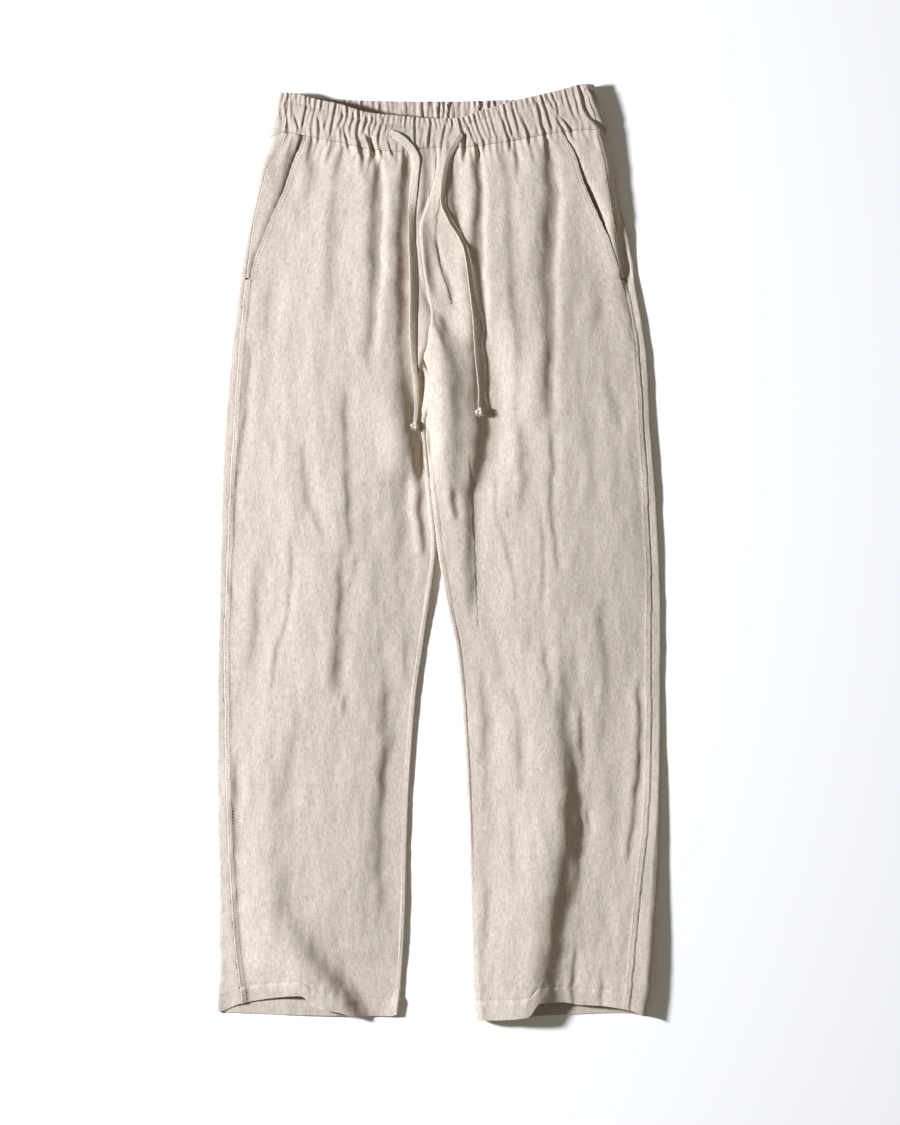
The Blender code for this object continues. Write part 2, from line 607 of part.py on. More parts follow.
def station_rows(first, last):
    """Index range of the stations from one place down to another."""
    return STATIONS.index(first), STATIONS.index(last) + 1


def smooth_route(points, count):
    """Evenly spaced points on a smooth curve through a route's own points."""
    route = np.array(points, float)
    run = np.concatenate([[0.0], np.cumsum(np.linalg.norm(np.diff(route, axis=0), axis=1))])
    even = np.linspace(0.0, run[-1], count)
    return np.stack([smooth_table(even, run, route[:, axis]) for axis in range(3)], axis=1)


def tie(name, points):
    """Round tube along a tie's route."""
    curve = bpy.data.curves.new(name, "CURVE")
    curve.dimensions = "3D"
    curve.bevel_depth = TIE_RADIUS * MM
    curve.bevel_resolution = 2
    curve.use_fill_caps = True
    spline = curve.splines.new("POLY")
    places = smooth_route(points, TIE_POINTS)
    spline.points.add(len(places) - 1)
    for point, place in zip(spline.points, places):
        point.co = (*(place * MM), 1.0)
    curve.materials.append(cloth_material(name + "_cloth", "hemp_tie"))
    thing = bpy.data.objects.new(name, curve)
    bpy.context.collection.objects.link(thing)
    return thing


def knot(name, points):
    """Round knot on the free end of a tie."""
    end, before = np.array(points[-1], float), np.array(points[-2], float)
    ahead = (end - before) / np.linalg.norm(end - before)
    centre = end + ahead * (KNOT_RADIUS + SEAM_GAP)
    mesh = bmesh.new()
    bmesh.ops.create_icosphere(mesh, subdivisions=2, radius=KNOT_RADIUS * MM)
    bmesh.ops.translate(mesh, verts=mesh.verts, vec=Vector(centre * MM))
    return add_mesh(name, mesh, "hemp_tie")


def build_panels():
    """Fronts, backs, pocket facings, fly and thigh piece, and the waistband sewn to them."""
    fronts = {side: front_grid(side) for side in (RIGHT, LEFT)}
    backs = {side: back_grid(side) for side in (RIGHT, LEFT)}
    facings = {side: facing_grid(side) for side in (RIGHT, LEFT)}
    for side, label in ((RIGHT, "right"), (LEFT, "left")):
        wall("front_" + label, fronts[side], "hemp")
        wall("back_" + label, backs[side], "hemp")
        wall("pocket_facing_" + label, facings[side], "hemp")
    inset = sum(FRONT_CELLS[:2])
    first, last = station_rows(*FLY_STATIONS)
    wall("fly", fronts[LEFT][first:last, inset:], "hemp", SEAM_GAP + CLOTH)
    first, last = station_rows(*THIGH_STATIONS)
    wall("thigh_piece_left", fronts[LEFT][first:last, inset:-2], "hemp", SEAM_GAP + CLOTH)
    band_front, band_back = band_grids(fronts, facings, backs)
    wall("waistband_front", band_front, "hemp_band")
    wall("waistband_back", band_back, "hemp_band")


def build_ties():
    """Both ties and the knots on their ends."""
    for name, points in TIE_ROUTES.items():
        tie(name, points)
        knot(name.replace("drawstring", "knot"), points)


def main():
    """Build the trousers."""
    clear_scene()
    build_panels()
    build_ties()


main()
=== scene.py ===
"""Drawstring trousers of plain-woven hemp, laid flat on their back panels: the looks.

Lengths in the tables are millimetres and MM turns them to metres. +Y points to the waist, +X to
the wearer's left, and the back panels lie on z = 0.
"""
import logging
import math
from dataclasses import dataclass, field
from enum import Enum
from typing import NamedTuple

import bpy
import numpy as np
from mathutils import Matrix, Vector
from mathutils.bvhtree import BVHTree


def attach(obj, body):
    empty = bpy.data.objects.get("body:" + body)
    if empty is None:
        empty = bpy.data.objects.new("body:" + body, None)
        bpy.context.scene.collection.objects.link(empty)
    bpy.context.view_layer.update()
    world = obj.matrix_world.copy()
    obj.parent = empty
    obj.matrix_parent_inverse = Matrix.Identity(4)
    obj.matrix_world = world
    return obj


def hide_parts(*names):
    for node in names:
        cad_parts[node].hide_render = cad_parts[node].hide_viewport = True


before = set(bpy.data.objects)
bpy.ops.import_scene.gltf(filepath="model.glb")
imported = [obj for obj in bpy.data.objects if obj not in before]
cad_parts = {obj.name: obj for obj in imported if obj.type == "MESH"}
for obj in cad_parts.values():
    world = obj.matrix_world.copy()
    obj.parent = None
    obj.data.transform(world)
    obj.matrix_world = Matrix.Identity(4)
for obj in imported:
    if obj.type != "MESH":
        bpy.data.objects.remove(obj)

log = logging.getLogger("trousers")

MM = 0.001
Z_UP = np.array([0.0, 0.0, 1.0])
BODY = "root"
FIBRE_IOR = 1.5
CLOTH = 0.8                 # wall of one layer of hemp, seam allowances pressed in
HEM_FOLD = 0.8              # what a turned hem adds to it
BAND_THICK = 1.4            # wall of the gathered front band
BACK_BAND_THICK = 1.3
BAND_FULLNESS = 1.4         # cloth in the band for its length, which draws its weave closer
OVERLAY_FACE = 0.12         # an overlay's face and back above the front, before it rises
OVERLAY_BACK = 0.04
SEAM_GAP = 0.3
WAIST_GAP = 0.4
WAIST_SEAM_ALONG = 455.0
HEM_ALONG = -508.0
HEM_DEEP = 20.0
CROTCH_ALONG = 213.6
CROTCH_ROLL = 55.0
BACK_CENTRE = (-2.8, -16.5)
WAIST_REACH = 90.0
HEM_REACH = 70.0
POCKET_END = 302.0
POCKET_UNDERLAP = 6.0
HEADER = 10.5               # narrow part of the band above its elastic
BAND_TALL = 44.0
DENSE = 60
TANGENT_REACH = 0.4
EDGE_STRETCH = 7.0
DOME_REACH = 0.5
CELL_WIDE = 1.3             # width of a panel's cells near its edges
LOWEST_FRONT = 3.0          # a front's creases never fall below this, where the back would show
LOWEST_SOFTNESS = 0.6
ARCH_SOFTNESS = 0.45
MOST_UNEVEN = 3.0           # drop above which a crease's depth varies no further
STEEPNESS = 1.4
TAILS_FELT = 2.4            # tail lengths past which a crease is left out
PLEAT_NARROW, PLEAT_DEEP = 0.72, 1.15
SETTLE_REACH = 8            # points over which a tape's drop onto the cloth is smoothed


class Side(Enum):
    """Which of the wearer's legs: the right one lies at -X."""

    RIGHT = -1
    LEFT = 1


class LegRow(NamedTuple):
    """One section of a leg: Y, then X of the outer fold, side seam, inset line and inner edge."""

    along: float
    outer: float
    outseam: float
    inset: float
    inner: float


LEG_ROWS = {side: [LegRow(*row) for row in rows] for side, rows in {
    Side.RIGHT: [
        (455, -187.5, -170, -28, -2.8), (420, -199, -190, -30, -5), (387, -204.6, -199, -36, -13),
        (354, -212.3, -206.3, -44, -21), (321, -217.8, -210.7, -42, -18.5),
        (288, -222.8, -215.1, -38, -13.5), (255, -226.6, -218.9, -34, -8.6),
        (228, -229.4, -221.1, -36, -11), (213, -231, -222.2, -40, -16.5),
        (187, -233.5, -224.5, -34, -6), (165, -235.5, -226, -34, -9), (142, -237, -227, -38, -15),
        (100, -239, -230, -38, -12), (50, -241, -232.7, -34, -6.6), (8, -241.8, -234.3, -30, -2.8),
        (-53, -243, -236.5, -38, -10), (-108, -244.2, -238.2, -46, -17.6),
        (-163, -245.3, -237.6, -54, -25.3), (-273, -245.3, -235.4, -62, -33),
        (-383, -242.4, -229.9, -66, -36.3), (-438, -242.4, -225.5, -68, -38.5),
        (-487, -243.4, -220.6, -70, -41.8), (-508, -244.2, -218.9, -70, -44),
    ],
    Side.LEFT: [
        (455, 186.5, 175.5, 17, -2.8), (420, 193.6, 184, 10, -5), (387, 199, 190.3, 2, -13),
        (354, 207.9, 195.8, -3, -21), (321, 213.4, 201.3, 0.5, -18.5),
        (288, 218.4, 210.1, 10.5, -13.5), (255, 224.4, 216.7, 18, -8.6),
        (228, 228, 221.1, 20, -11), (213, 229.9, 222.2, 22, -16.5), (187, 231.6, 224.4, 28, -6),
        (165, 232.4, 225.5, 30, -9), (142, 233.2, 226.6, 32, -15), (100, 236.5, 229.9, 34, -12),
        (50, 240.4, 232.1, 37.4, -6), (8, 242.6, 234.3, 39.5, -1.6),
        (-42, 244.8, 235.4, 41.5, 6.6), (-75, 245.3, 235.4, 42.7, 12.1),
        (-108, 245.3, 235.4, 45, 18.7), (-174, 245.3, 235.4, 52, 25.3),
        (-273, 244.8, 233.2, 60, 30.8), (-383, 240.4, 222.2, 66, 35.2),
        (-438, 238.2, 216.7, 68, 37.4), (-487, 234.3, 212.3, 70, 39.6),
        (-508, 230.5, 210.1, 70, 42.9),
    ],
}.items()}


class HeightRow(NamedTuple):
    """Heights of a flattened leg: at its outer and inner fold, and its swell between them."""

    along: float
    outer_fold: float
    inner_fold: float
    crown: float


HEIGHT_ROWS = {side: [HeightRow(*row) for row in rows] for side, rows in {
    Side.RIGHT: [
        (510, 20, 17.5, 1), (455, 18, 17, 1.5), (400, 14, 16, 2.5), (330, 10.5, 14.5, 3),
        (260, 8, 13, 4), (213, 7, 12, 4.5), (140, 6, 9.8, 5), (80, 5.4, 7, 5.5), (10, 5, 5, 6),
        (-53, 4.8, 4.4, 6), (-163, 4.6, 4.2, 6), (-250, 4.6, 4.2, 6), (-390, 5, 4.2, 6.5),
        (-440, 5.6, 4.4, 7), (-470, 6.2, 5, 7), (-508, 7, 7, 7),
    ],
    Side.LEFT: [
        (510, 20, 17.5, 1), (455, 18, 17, 1.5), (420, 14.8, 16.4, 2), (387, 13.5, 15.8, 2.2),
        (354, 10.5, 15, 2.6), (321, 6.8, 14.3, 3.4), (288, 5.2, 13.6, 4), (213, 4.7, 12, 5),
        (140, 4.6, 9.8, 6), (80, 4.5, 7.6, 6.5), (0, 4.3, 5.6, 6.5), (-53, 4.3, 4.8, 6.5),
        (-108, 4.3, 4.8, 6), (-174, 5.8, 5.5, 5.5), (-273, 9.5, 7, 5), (-330, 13, 9, 4),
        (-383, 16.5, 11, 3.5), (-438, 19, 12.5, 3), (-487, 20.5, 13.5, 2.5), (-508, 21, 14, 2.5),
    ],
}.items()}

# Edge lines as X, Y pairs.
FRONT_WAIST_SEAM = [
    (-188, 456), (-170, 461), (-145, 457), (-109, 450), (-76, 442.5), (-43, 440), (-10, 444),
    (25, 444.5), (56, 448), (89, 453), (133, 461), (166, 464), (186, 463),
]
BACK_WAIST_SEAM = [(-188, 456), (-100, 452), (0, 450), (100, 453), (186, 463)]
FRONT_TOP_EDGE = [
    (-178, 505), (-158, 504.4), (-145, 500), (-111, 492.5), (-78, 483), (-50, 480), (0, 476.5),
    (20, 477), (46, 485), (63, 490), (97, 499), (131, 507), (161, 514.2), (171, 514),
]
BACK_TOP_EDGE = [
    (-178, 505), (-120, 500), (-50, 497.5), (0, 497), (50, 498), (106, 501), (140, 507),
    (171, 514),
]
FRONT_HEM = {
    Side.RIGHT: [(-245, -507), (-220, -498), (-186, -491.5), (-152, -488), (-136, -501),
                 (-110, -506), (-97, -510), (-53, -511.5), (-44, -509)],
    Side.LEFT: [(43, -514.6), (70, -513.5), (98, -510), (112, -495), (135, -495), (153, -498),
                (178, -499), (210, -503.6), (231, -510)],
}
BACK_HEM = {
    Side.RIGHT: [(-245, -507), (-200, -509), (-120, -511), (-44, -509)],
    Side.LEFT: [(43, -514.6), (120, -511), (200, -508), (231, -511)],
}
# Slanted pocket mouths, X against Y from the lower end up.
POCKET_MOUTH = {
    Side.RIGHT: [(302, -207.5), (359, -189.2), (381, -179.3), (396, -171.6), (423, -161.7),
                 (456, -149.6)],
    Side.LEFT: [(302, 199.5), (337, 190.3), (362, 179.3), (385, 168.3), (409, 157.3),
                (429, 150.7), (463, 134.2)],
}
# How deep the pocket mouths gape, Y against millimetres.
POCKET_GAPE = {
    Side.RIGHT: [(302, 0), (350, 0.1), (372, 0.8), (396, 2.8), (420, 5), (445, 5.6),
                 (458, 2.5)],
    Side.LEFT: [(302, 0), (335, 0.2), (352, 1.6), (365, 4.2), (382, 5.6), (400, 4),
                (425, 1.8), (445, 0.9), (463, 0.6)],
}


class BandRow(NamedTuple):
    """Ends of the waistband at one rise: X of its folds and seams, right to left."""

    rise: float
    right_fold: float
    right_seam: float
    left_seam: float
    left_fold: float


BAND_ROWS = [BandRow(0, -187.5, -170, 175.5, 186.5), BandRow(1, -178, -165, 158, 171)]

# Routes of the ties, from the eyelet down: X, Y, Z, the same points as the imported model's.
TIE_ROUTES = {
    Side.RIGHT: [
        (-53, 461, 20.5), (-45.5, 456, 20.6), (-37, 449.5, 20.4), (-29, 440, 19.9),
        (-25.2, 430, 19.5), (-26.8, 413, 19.2), (-28.3, 395, 18.9), (-30.3, 371, 18.0),
        (-30.2, 345, 17.1), (-28.6, 315, 16.4), (-28.2, 283, 15.4), (-28.5, 246, 14.8),
        (-27.5, 211, 14.2), (-24.5, 180, 13.1), (-25, 158, 13.0), (-26.6, 142, 14.6),
    ],
    Side.LEFT: [
        (25, 459, 19.6), (20, 451.5, 19.9), (15.3, 443.5, 20.9), (10.4, 433, 20.8),
        (6.2, 413, 20.4), (4.6, 399, 20.1), (4.0, 388, 19.7), (5.3, 379, 17.9),
        (9.3, 370, 17.0), (14.3, 360, 16.2), (19.8, 352, 15.4), (25.2, 342, 14.9),
        (28.6, 334, 15.0), (32.4, 315, 14.4), (34.6, 297, 14.0), (37.8, 277, 14.1),
        (40.4, 260, 14.2), (42.3, 231, 14.0), (43.3, 212, 13.8), (44.0, 199, 13.7),
        (45.2, 177, 13.5), (44.7, 157.5, 15.0),
    ],
}

# How the tapes lie, by distance from the eyelet: turn about the run in degrees, where 0 lies flat
# and above 0 the +X edge is the lower one, and width.
TIE_TURNS = {
    Side.RIGHT: [(0, -4, 5.0), (8, -8, 8.5), (30, -12, 9.2), (72, -10, 9.2), (88, 4, 8.4),
                 (112, 27, 7.8), (150, 31, 8.6), (190, 30, 9.2), (225, 27, 8.4), (262, 20, 6.4),
                 (285, 10, 4.8), (335, 8, 4.6)],
    Side.LEFT: [(0, 10, 4.6), (8, 18, 6.8), (30, 24, 7.0), (60, 26, 6.8), (78, 32, 6.4),
                (92, 40, 6.0), (140, 42, 6.2), (185, 38, 7.0), (205, 32, 9.0), (225, 30, 9.4),
                (260, 30, 8.2), (280, 34, 5.4), (315, 30, 4.6)],
}
FRAY_SEEDS = {Side.RIGHT: 41, Side.LEFT: 43}

# Rows of sewing: distances from a seam or an edge, and the band's row as a part of its height.
SEAM_ROWS = (2.0, 6.0)
INSEAM_ROW = 6.0
HEM_ROW = 19.0
BAND_ROW = 0.045
# Lines sewn on the front, as X, Y points: the fly's curved stitching, the fold it closes, its
# foot, the lower edge of the inset at the thigh and the centre seam below the fly.
SEWN_ON_TOP = [
    [(-4, 436), (-4.5, 400), (-6, 362), (-5, 340), (-0.5, 320), (4, 303), (9.5, 288), (12, 276)],
    [(-10, 436), (-10.5, 400), (-11, 372)],
    [(-9, 271.5), (-3, 270), (3, 270.4), (11, 273.5)],
    [(17, -84), (28, -83.4), (40, -83), (58, -81)],
    [(-13.5, 262), (-10.5, 250), (-10.5, 238), (-13, 226)],
]
POCKET_TACKS = {Side.RIGHT: np.array([-208.5, 301.0]), Side.LEFT: np.array([199.0, 303.5])}
# Buttonholes for the drawstring: X, Y and lean in degrees.
BUTTONHOLES = [(-54.5, 462.5, 6.0), (26.5, 460.5, 20.0)]
BUTTONHOLE_LENGTH = 13.0
TACK_PITCH = 0.62


class Crease(NamedTuple):
    """One crease: points of X, Y, half width and drop, and how far it is felt on either side.

    The cloth falls by the drop towards +X across the crease; a negative drop rises. It comes
    back to its own level over `before` on the -X side and `after` on the +X side.
    """

    points: tuple[tuple[float, float, float, float], ...]
    before: float
    after: float

    def reshaped(self, wider: float, deeper: float, over: float = 0.0,
                 up: float = 0.0) -> "Crease":
        """The same crease with its half widths and drops multiplied, moved in X and Y."""
        moved = tuple((x + over, y + up, w * wider, d * deeper) for x, y, w, d in self.points)
        return Crease(moved, self.before, self.after)


def read_creases(rows: list[tuple]) -> list[Crease]:
    """Creases from rows that give before, after and then each point."""
    return [Crease(tuple(points), before, after) for before, after, *points in rows]


RIGHT_LEG_CREASES = read_creases([
    (12, 12, (-143, 452, 3.5, 1.8), (-141, 425, 5.5, 3), (-144, 390, 7, 2.4), (-146, 360, 7, 1.2),
     (-146, 335, 6, 0)),
    (16, 12, (-160, 405, 4, 0), (-158, 385, 5, 1.3), (-155, 345, 5, 0)),
    (24, 16, (-106, 446, 3.5, 1.8), (-112, 425, 5.5, 3), (-117, 395, 7, 3), (-119, 345, 8, 2.8),
     (-121, 300, 8, 2.4), (-126, 225, 7, 0)),
    (8, 8, (-86, 452, 2, 2.6), (-84, 430, 3, 2.4), (-83, 400, 3, 0)),
    (30, 5, (-78, 455, 2.4, 2.4), (-75, 445, 2.6, 3), (-71, 425, 4.6, 4.6), (-70, 400, 7.4, 6.4),
     (-72, 370, 8.6, 7), (-73, 330, 8.6, 6.8), (-73, 300, 8, 5.8), (-75, 265, 6.5, 3.8),
     (-77, 235, 5.5, 3), (-78, 195, 5, 0)),
    (26, 8, (-41, 447, 3, 0), (-38, 425, 7, 5), (-40, 395, 8, 7), (-43, 350, 9, 7.6),
     (-43, 300, 9, 7.4), (-43, 250, 9, 5.8), (-42, 205, 10.5, 7.4), (-36, 170, 13, 12.6),
     (-34.5, 155, 13, 14.6), (-32.5, 140, 13, 16.4), (-26.5, 121, 13.5, 17.6), (-30, 95, 12, 12),
     (-39, 70, 10, 3.6), (-43, 30, 9, 1.2), (-44, -10, 8, 1), (-43, -50, 7, 0)),
    (6, 8, (-24, 122, 3, 0), (-22, 105, 4.5, 4), (-22, 88, 5.5, 6.4), (-22, 60, 5, 6.2),
     (-20, 30, 4.5, 4.6), (-18, 5, 4, 3), (-17, -14, 4, 0)),
    (10, 6, (-209, 240, 3, 0), (-210, 220, 3, 1.2), (-213, 180, 3, 1.5), (-216, 140, 3, 1.5),
     (-220, 105, 3, 1.5), (-225, 80, 3, 1.2), (-227, 40, 3, 1), (-228, 5, 3, 0)),
    (20, 15, (-186, 312, 5, 0), (-188, 285, 5, 1.4), (-191, 250, 5, 1.2), (-192, 210, 5, 0)),
    (8, 8, (-181, 128, 3, 0), (-182, 115, 3, 1.1), (-184, 98, 3, 1), (-185, 82, 3, 0)),
    (24, 10, (-151, 128, 4, 0), (-150, 110, 5, 2), (-149, 80, 5.5, 2.6), (-147, 60, 5, 2.4),
     (-140, 45, 4.5, 2), (-134, 28, 4, 1.6), (-129, 2, 4, 0)),
    (20, 10, (-105, 195, 3, 0), (-105, 170, 4, 1.6), (-104, 120, 4.5, 2.2), (-102, 60, 4.5, 2.4),
     (-99, 20, 4, 1.8), (-97, -8, 4, 0)),
    (24, 12, (-106, 12, 4, 0), (-108, -10, 5, 1.8), (-111, -60, 6, 3.4), (-113, -100, 6, 3.6),
     (-114, -140, 6, 3), (-114, -165, 5, 0)),
    (8, 6, (-89, 2, 3, 0), (-92, -12, 3, 1.2), (-99, -38, 3, 1), (-101, -50, 3, 0)),
    (16, 12, (-203, 12, 4, 0), (-203, -20, 5, 1.4), (-203, -60, 5, 1.6), (-206, -110, 5, 1.4),
     (-208, -132, 5, 0)),
    (6, 5, (-163, 22, 2, 0), (-163, 0, 2.2, 0.9), (-166, -60, 2.2, 1), (-177, -100, 2.2, 1),
     (-186, -145, 2.2, 0.8), (-188, -162, 2, 0)),
    (6, 5, (-232, -12, 2.5, 0), (-231, -40, 2.5, 1), (-230, -68, 2.5, 0)),
    (12, 10, (-38, -72, 4, 0), (-37, -115, 4.5, 1.6), (-36, -158, 4, 0)),
    (28, 16, (-60, -105, 4, 0), (-60, -140, 7, 2.6), (-60, -165, 8.5, 4.6), (-59, -220, 9, 5.6),
     (-63, -260, 9, 5.6), (-66, -300, 9, 4.8), (-66, -335, 8, 3.6), (-64, -380, 7, 1.8),
     (-63, -415, 6, 0)),
    (8, 8, (-44, -150, 3, 0), (-46, -175, 4, 1.6), (-49, -210, 4, 1.6), (-51, -242, 4, 0)),
    (8, 8, (-105, -152, 3, 0), (-104, -170, 3, 1.4), (-103, -188, 3, 0)),
    (36, 34, (-156, -155, 6, 0), (-158, -190, 8, 2), (-162, -215, 9, 3), (-170, -250, 10, 4),
     (-176, -290, 13, 4.4), (-177, -330, 15, 5.2), (-174, -365, 16, 5.8), (-168, -395, 16, 7.6),
     (-152, -425, 15, 10.6), (-133, -452, 14.5, 13), (-112, -475, 14, 13.8), (-95, -495, 13, 13.6),
     (-86, -518, 12, 11)),
    (12, 12, (-222, -212, 3, 0), (-225, -245, 4, 2), (-226, -290, 4.5, 3), (-226, -330, 4.5, 2.4),
     (-225, -375, 4.5, 3), (-224, -420, 4.5, 2.6), (-219, -460, 4.5, 2.2), (-214, -490, 5, 2.2),
     (-212, -512, 5, 2)),
    (8, 8, (-208, -228, 3, 0), (-207, -255, 3, 1), (-205, -288, 3, 0)),
    (8, 8, (-140, -248, 3, 0), (-141, -272, 3.5, 1.1), (-143, -297, 3, 0)),
])

# Short slanting wrinkles on the strip outside the right leg's side seam.
STRIP_WRINKLES = read_creases([
    (3, 3, (-247, -346, 1.6, 0.7), (-239, -356, 1.8, 1.3), (-230, -366, 1.8, 0)),
    (3, 3, (-247, -364, 1.6, 0.6), (-240, -373, 1.8, 1.1), (-232, -381, 1.8, 0)),
    (3.5, 3, (-247, -384, 1.6, 0.8), (-239, -393, 1.8, 1.5), (-229, -402, 1.8, 0)),
    (3.5, 3, (-247, -404, 1.6, 0.8), (-239, -414, 1.8, 1.4), (-230, -424, 1.8, 0)),
    (3, 3, (-246, -423, 1.6, 0.6), (-239, -432, 1.8, 1.2), (-230, -441, 1.8, 0)),
    (3.5, 3, (-246, -447, 1.6, 0.7), (-238, -456, 1.8, 1.4), (-227, -466, 1.8, 0)),
])

LEFT_LEG_CREASES = read_creases([
    (5, 5, (25, 462, 1.6, 1), (25.5, 450, 2.2, 3), (26, 435, 2.2, 2.4), (26, 422, 2, 0)),
    (10, 9, (10, 442, 3, 0), (11, 420, 4, 2.5), (13, 400, 4.5, 3.4), (17, 375, 4.5, 3.4),
     (21, 352, 4, 2.6), (26, 332, 4, 0)),
    (11, 4, (39, 449, 3.4, 2.6), (41, 430, 4.4, 4.4), (42.5, 410, 4.8, 5), (42.5, 385, 5.2, 5.4),
     (41, 360, 6.5, 6), (38, 335, 9, 7), (38, 310, 10, 7), (40, 285, 9.5, 6.6), (42, 262, 8, 6),
     (44, 240, 8, 3), (45, 225, 8, 0)),
    (36, 26, (39, 276, 6, 0), (40, 250, 8, 7), (42, 225, 11, 14), (44, 200, 12.5, 18.6),
     (46, 170, 13.5, 20.4), (47, 140, 13.5, 21), (46, 115, 12.5, 19), (41, 90, 11, 14),
     (34, 65, 9.5, 10.4), (33, 40, 8.5, 8.2), (34, 10, 8, 6.8), (35, -20, 7.5, 5.8),
     (35, -50, 7, 4.2), (35, -80, 5, 0)),
    (8, 7, (15, 78, 3, 0), (15, 62, 3.4, 2.6), (16.5, 45, 3.4, 3), (18, 30, 3, 0)),
    (20, 12, (70, 450, 4, 1), (73, 425, 5, 1.9), (75, 385, 5.5, 2.2), (77, 345, 5.5, 2.2),
     (79, 300, 5.5, 2), (82, 255, 5.5, 1.9), (86, 215, 5, 1.8), (84, 185, 5.5, 2.2),
     (84, 160, 5.5, 2.8), (88, 130, 6, 3.3), (91, 95, 6, 3.2), (90, 65, 5.5, 2.4), (89, 35, 5, 0)),
    (6, 6, (83, 454, 2, 1), (84, 435, 2.5, 1.7), (84, 418, 2.5, 1.2), (84, 402, 2, 0)),
    (26, 6, (117, 454, 3, 2), (118, 438, 6, 4), (119, 415, 8, 5.6), (120, 390, 10, 6.6),
     (119, 360, 10, 6.6), (117, 335, 10, 6), (116, 300, 10, 5.4), (117, 265, 9.5, 5),
     (118, 235, 8, 4.8), (119, 200, 7, 4.6), (118, 165, 7, 4), (119, 130, 6, 0)),
    (8, 6, (121, 145, 2.5, 0), (122, 125, 3, 1.6), (126, 92, 3, 1.6), (122, 78, 3, 1.4),
     (123, 45, 3, 1.5), (127, 12, 3, 1.5), (130, -15, 3, 1), (131, -34, 3, 0)),
    (4, 4, (105, 356, 1.6, 0), (106.5, 340, 1.6, 0.7), (108, 326, 1.6, 0)),
    (14, 8, (170, 474, 3, 2.2), (178, 462, 4, 3.4), (184, 440, 5, 5), (189, 415, 6, 6.2),
     (193.5, 385, 6.5, 7.2), (197.5, 352, 6.5, 8.4), (200.5, 325, 5.5, 8.8), (202.5, 305, 4, 6.4),
     (204, 290, 3, 3), (207, 270, 2.5, 2), (212, 240, 2.5, 1.6), (217, 210, 2.5, 0)),
    (14, 12, (176, 290, 4, 0), (173, 265, 5, 1.5), (170, 235, 4, 0)),
    (14, 12, (184, 198, 4, 0), (189, 175, 5, 1.4), (196, 148, 5, 1.2), (199, 126, 4, 0)),
    (16, 14, (160, 160, 5, 0), (162, 130, 6, 1.3), (163, 95, 5, 0)),
    (16, 14, (168, 98, 5, 0), (170, 60, 7, 1.6), (171, 15, 6, 0)),
    (12, 10, (193, 98, 4, 0), (194, 65, 5, 1.2), (195, 34, 4, 0)),
    (6, 5, (60, 100, 2, 0), (61, 80, 2.2, 0.8), (62, 45, 2.2, 0.9), (71, 12, 2.2, 0.9),
     (79, -18, 2.2, 0.9), (83, -48, 2.2, 0.7), (84, -62, 2, 0)),
    (6, 5, (109, 64, 2, 0), (112, 25, 2.2, 0.9), (115, 0, 2.2, 1), (113, -45, 2.2, 0.8),
     (112, -64, 2, 0)),
    (20, 14, (174, -45, 5, 0), (177, -75, 6, 1.8), (180, -100, 6, 2), (183, -135, 6, 1.8),
     (184, -165, 5, 0)),
    (10, 8, (114, -88, 3, 0), (116, -115, 4, 1.6), (119, -145, 4, 1.6), (121, -168, 4, 0)),
    (52, 84, (134, -98, 5, 0), (134, -130, 8, 2.6), (136, -160, 10, 5.2), (139, -200, 12, 8.2),
     (142, -240, 13, 11), (143, -280, 13.5, 13.6), (141, -320, 14.5, 15.6),
     (136, -360, 15.5, 16.8), (131, -400, 16, 17.4), (126, -440, 16, 17.4), (121, -480, 15.5, 17),
     (119, -518, 15, 16.6)),
    (14, 14, (146, -205, 4, 0), (149, -240, 5, 1.8), (153, -280, 5, 2.6), (154.5, -310, 5, 2.8),
     (152, -350, 5, 2.2), (148, -395, 5, 0)),
    (6, 6, (154, -156, 2.5, 0), (155.5, -190, 3, 1.6), (157, -225, 3, 1.4), (157, -248, 2.5, 0)),
    (5, 5, (162, -268, 2, 0), (164.5, -295, 2.2, 1), (166, -322, 2, 0)),
    (12, 12, (45, -120, 3, 0), (47, -155, 4.5, 2), (50, -185, 5, 2.4), (50, -230, 5, 2),
     (50, -275, 4.5, 1), (50, -305, 4, 0)),
    (16, 14, (82, -140, 4, 0), (84, -170, 5, 2), (87, -205, 5.5, 2.4), (88, -245, 5.5, 2),
     (88, -275, 5, 0)),
    (14, 12, (77, -280, 4, 0), (80, -325, 5, 1.4), (81, -355, 5, 1.3), (78, -384, 4, 0)),
    (8, 6, (220, -126, 2.5, 0), (220, -160, 3, 2), (221, -200, 3.2, 2.6), (219, -245, 3.2, 2.6),
     (214, -290, 3.2, 2.4), (209, -330, 3, 1.8), (207, -354, 3, 0)),
    (14, 12, (180, -136, 4, 0), (179, -185, 5, 1.3), (178, -240, 4, 0)),
    (10, 10, (50, -340, 3, 0), (51, -375, 4, 1.8), (52, -400, 4, 1.8), (49, -425, 4, 1.6),
     (48, -445, 3, 0)),
    (6, 6, (149, -425, 2, 0), (148, -450, 2.5, 1.4), (146, -480, 2.5, 1.8), (145, -510, 2.5, 1.6)),
    (8, 8, (177, -445, 2.5, 0), (178, -480, 3, 1.6), (178, -512, 3, 1.6)),
])

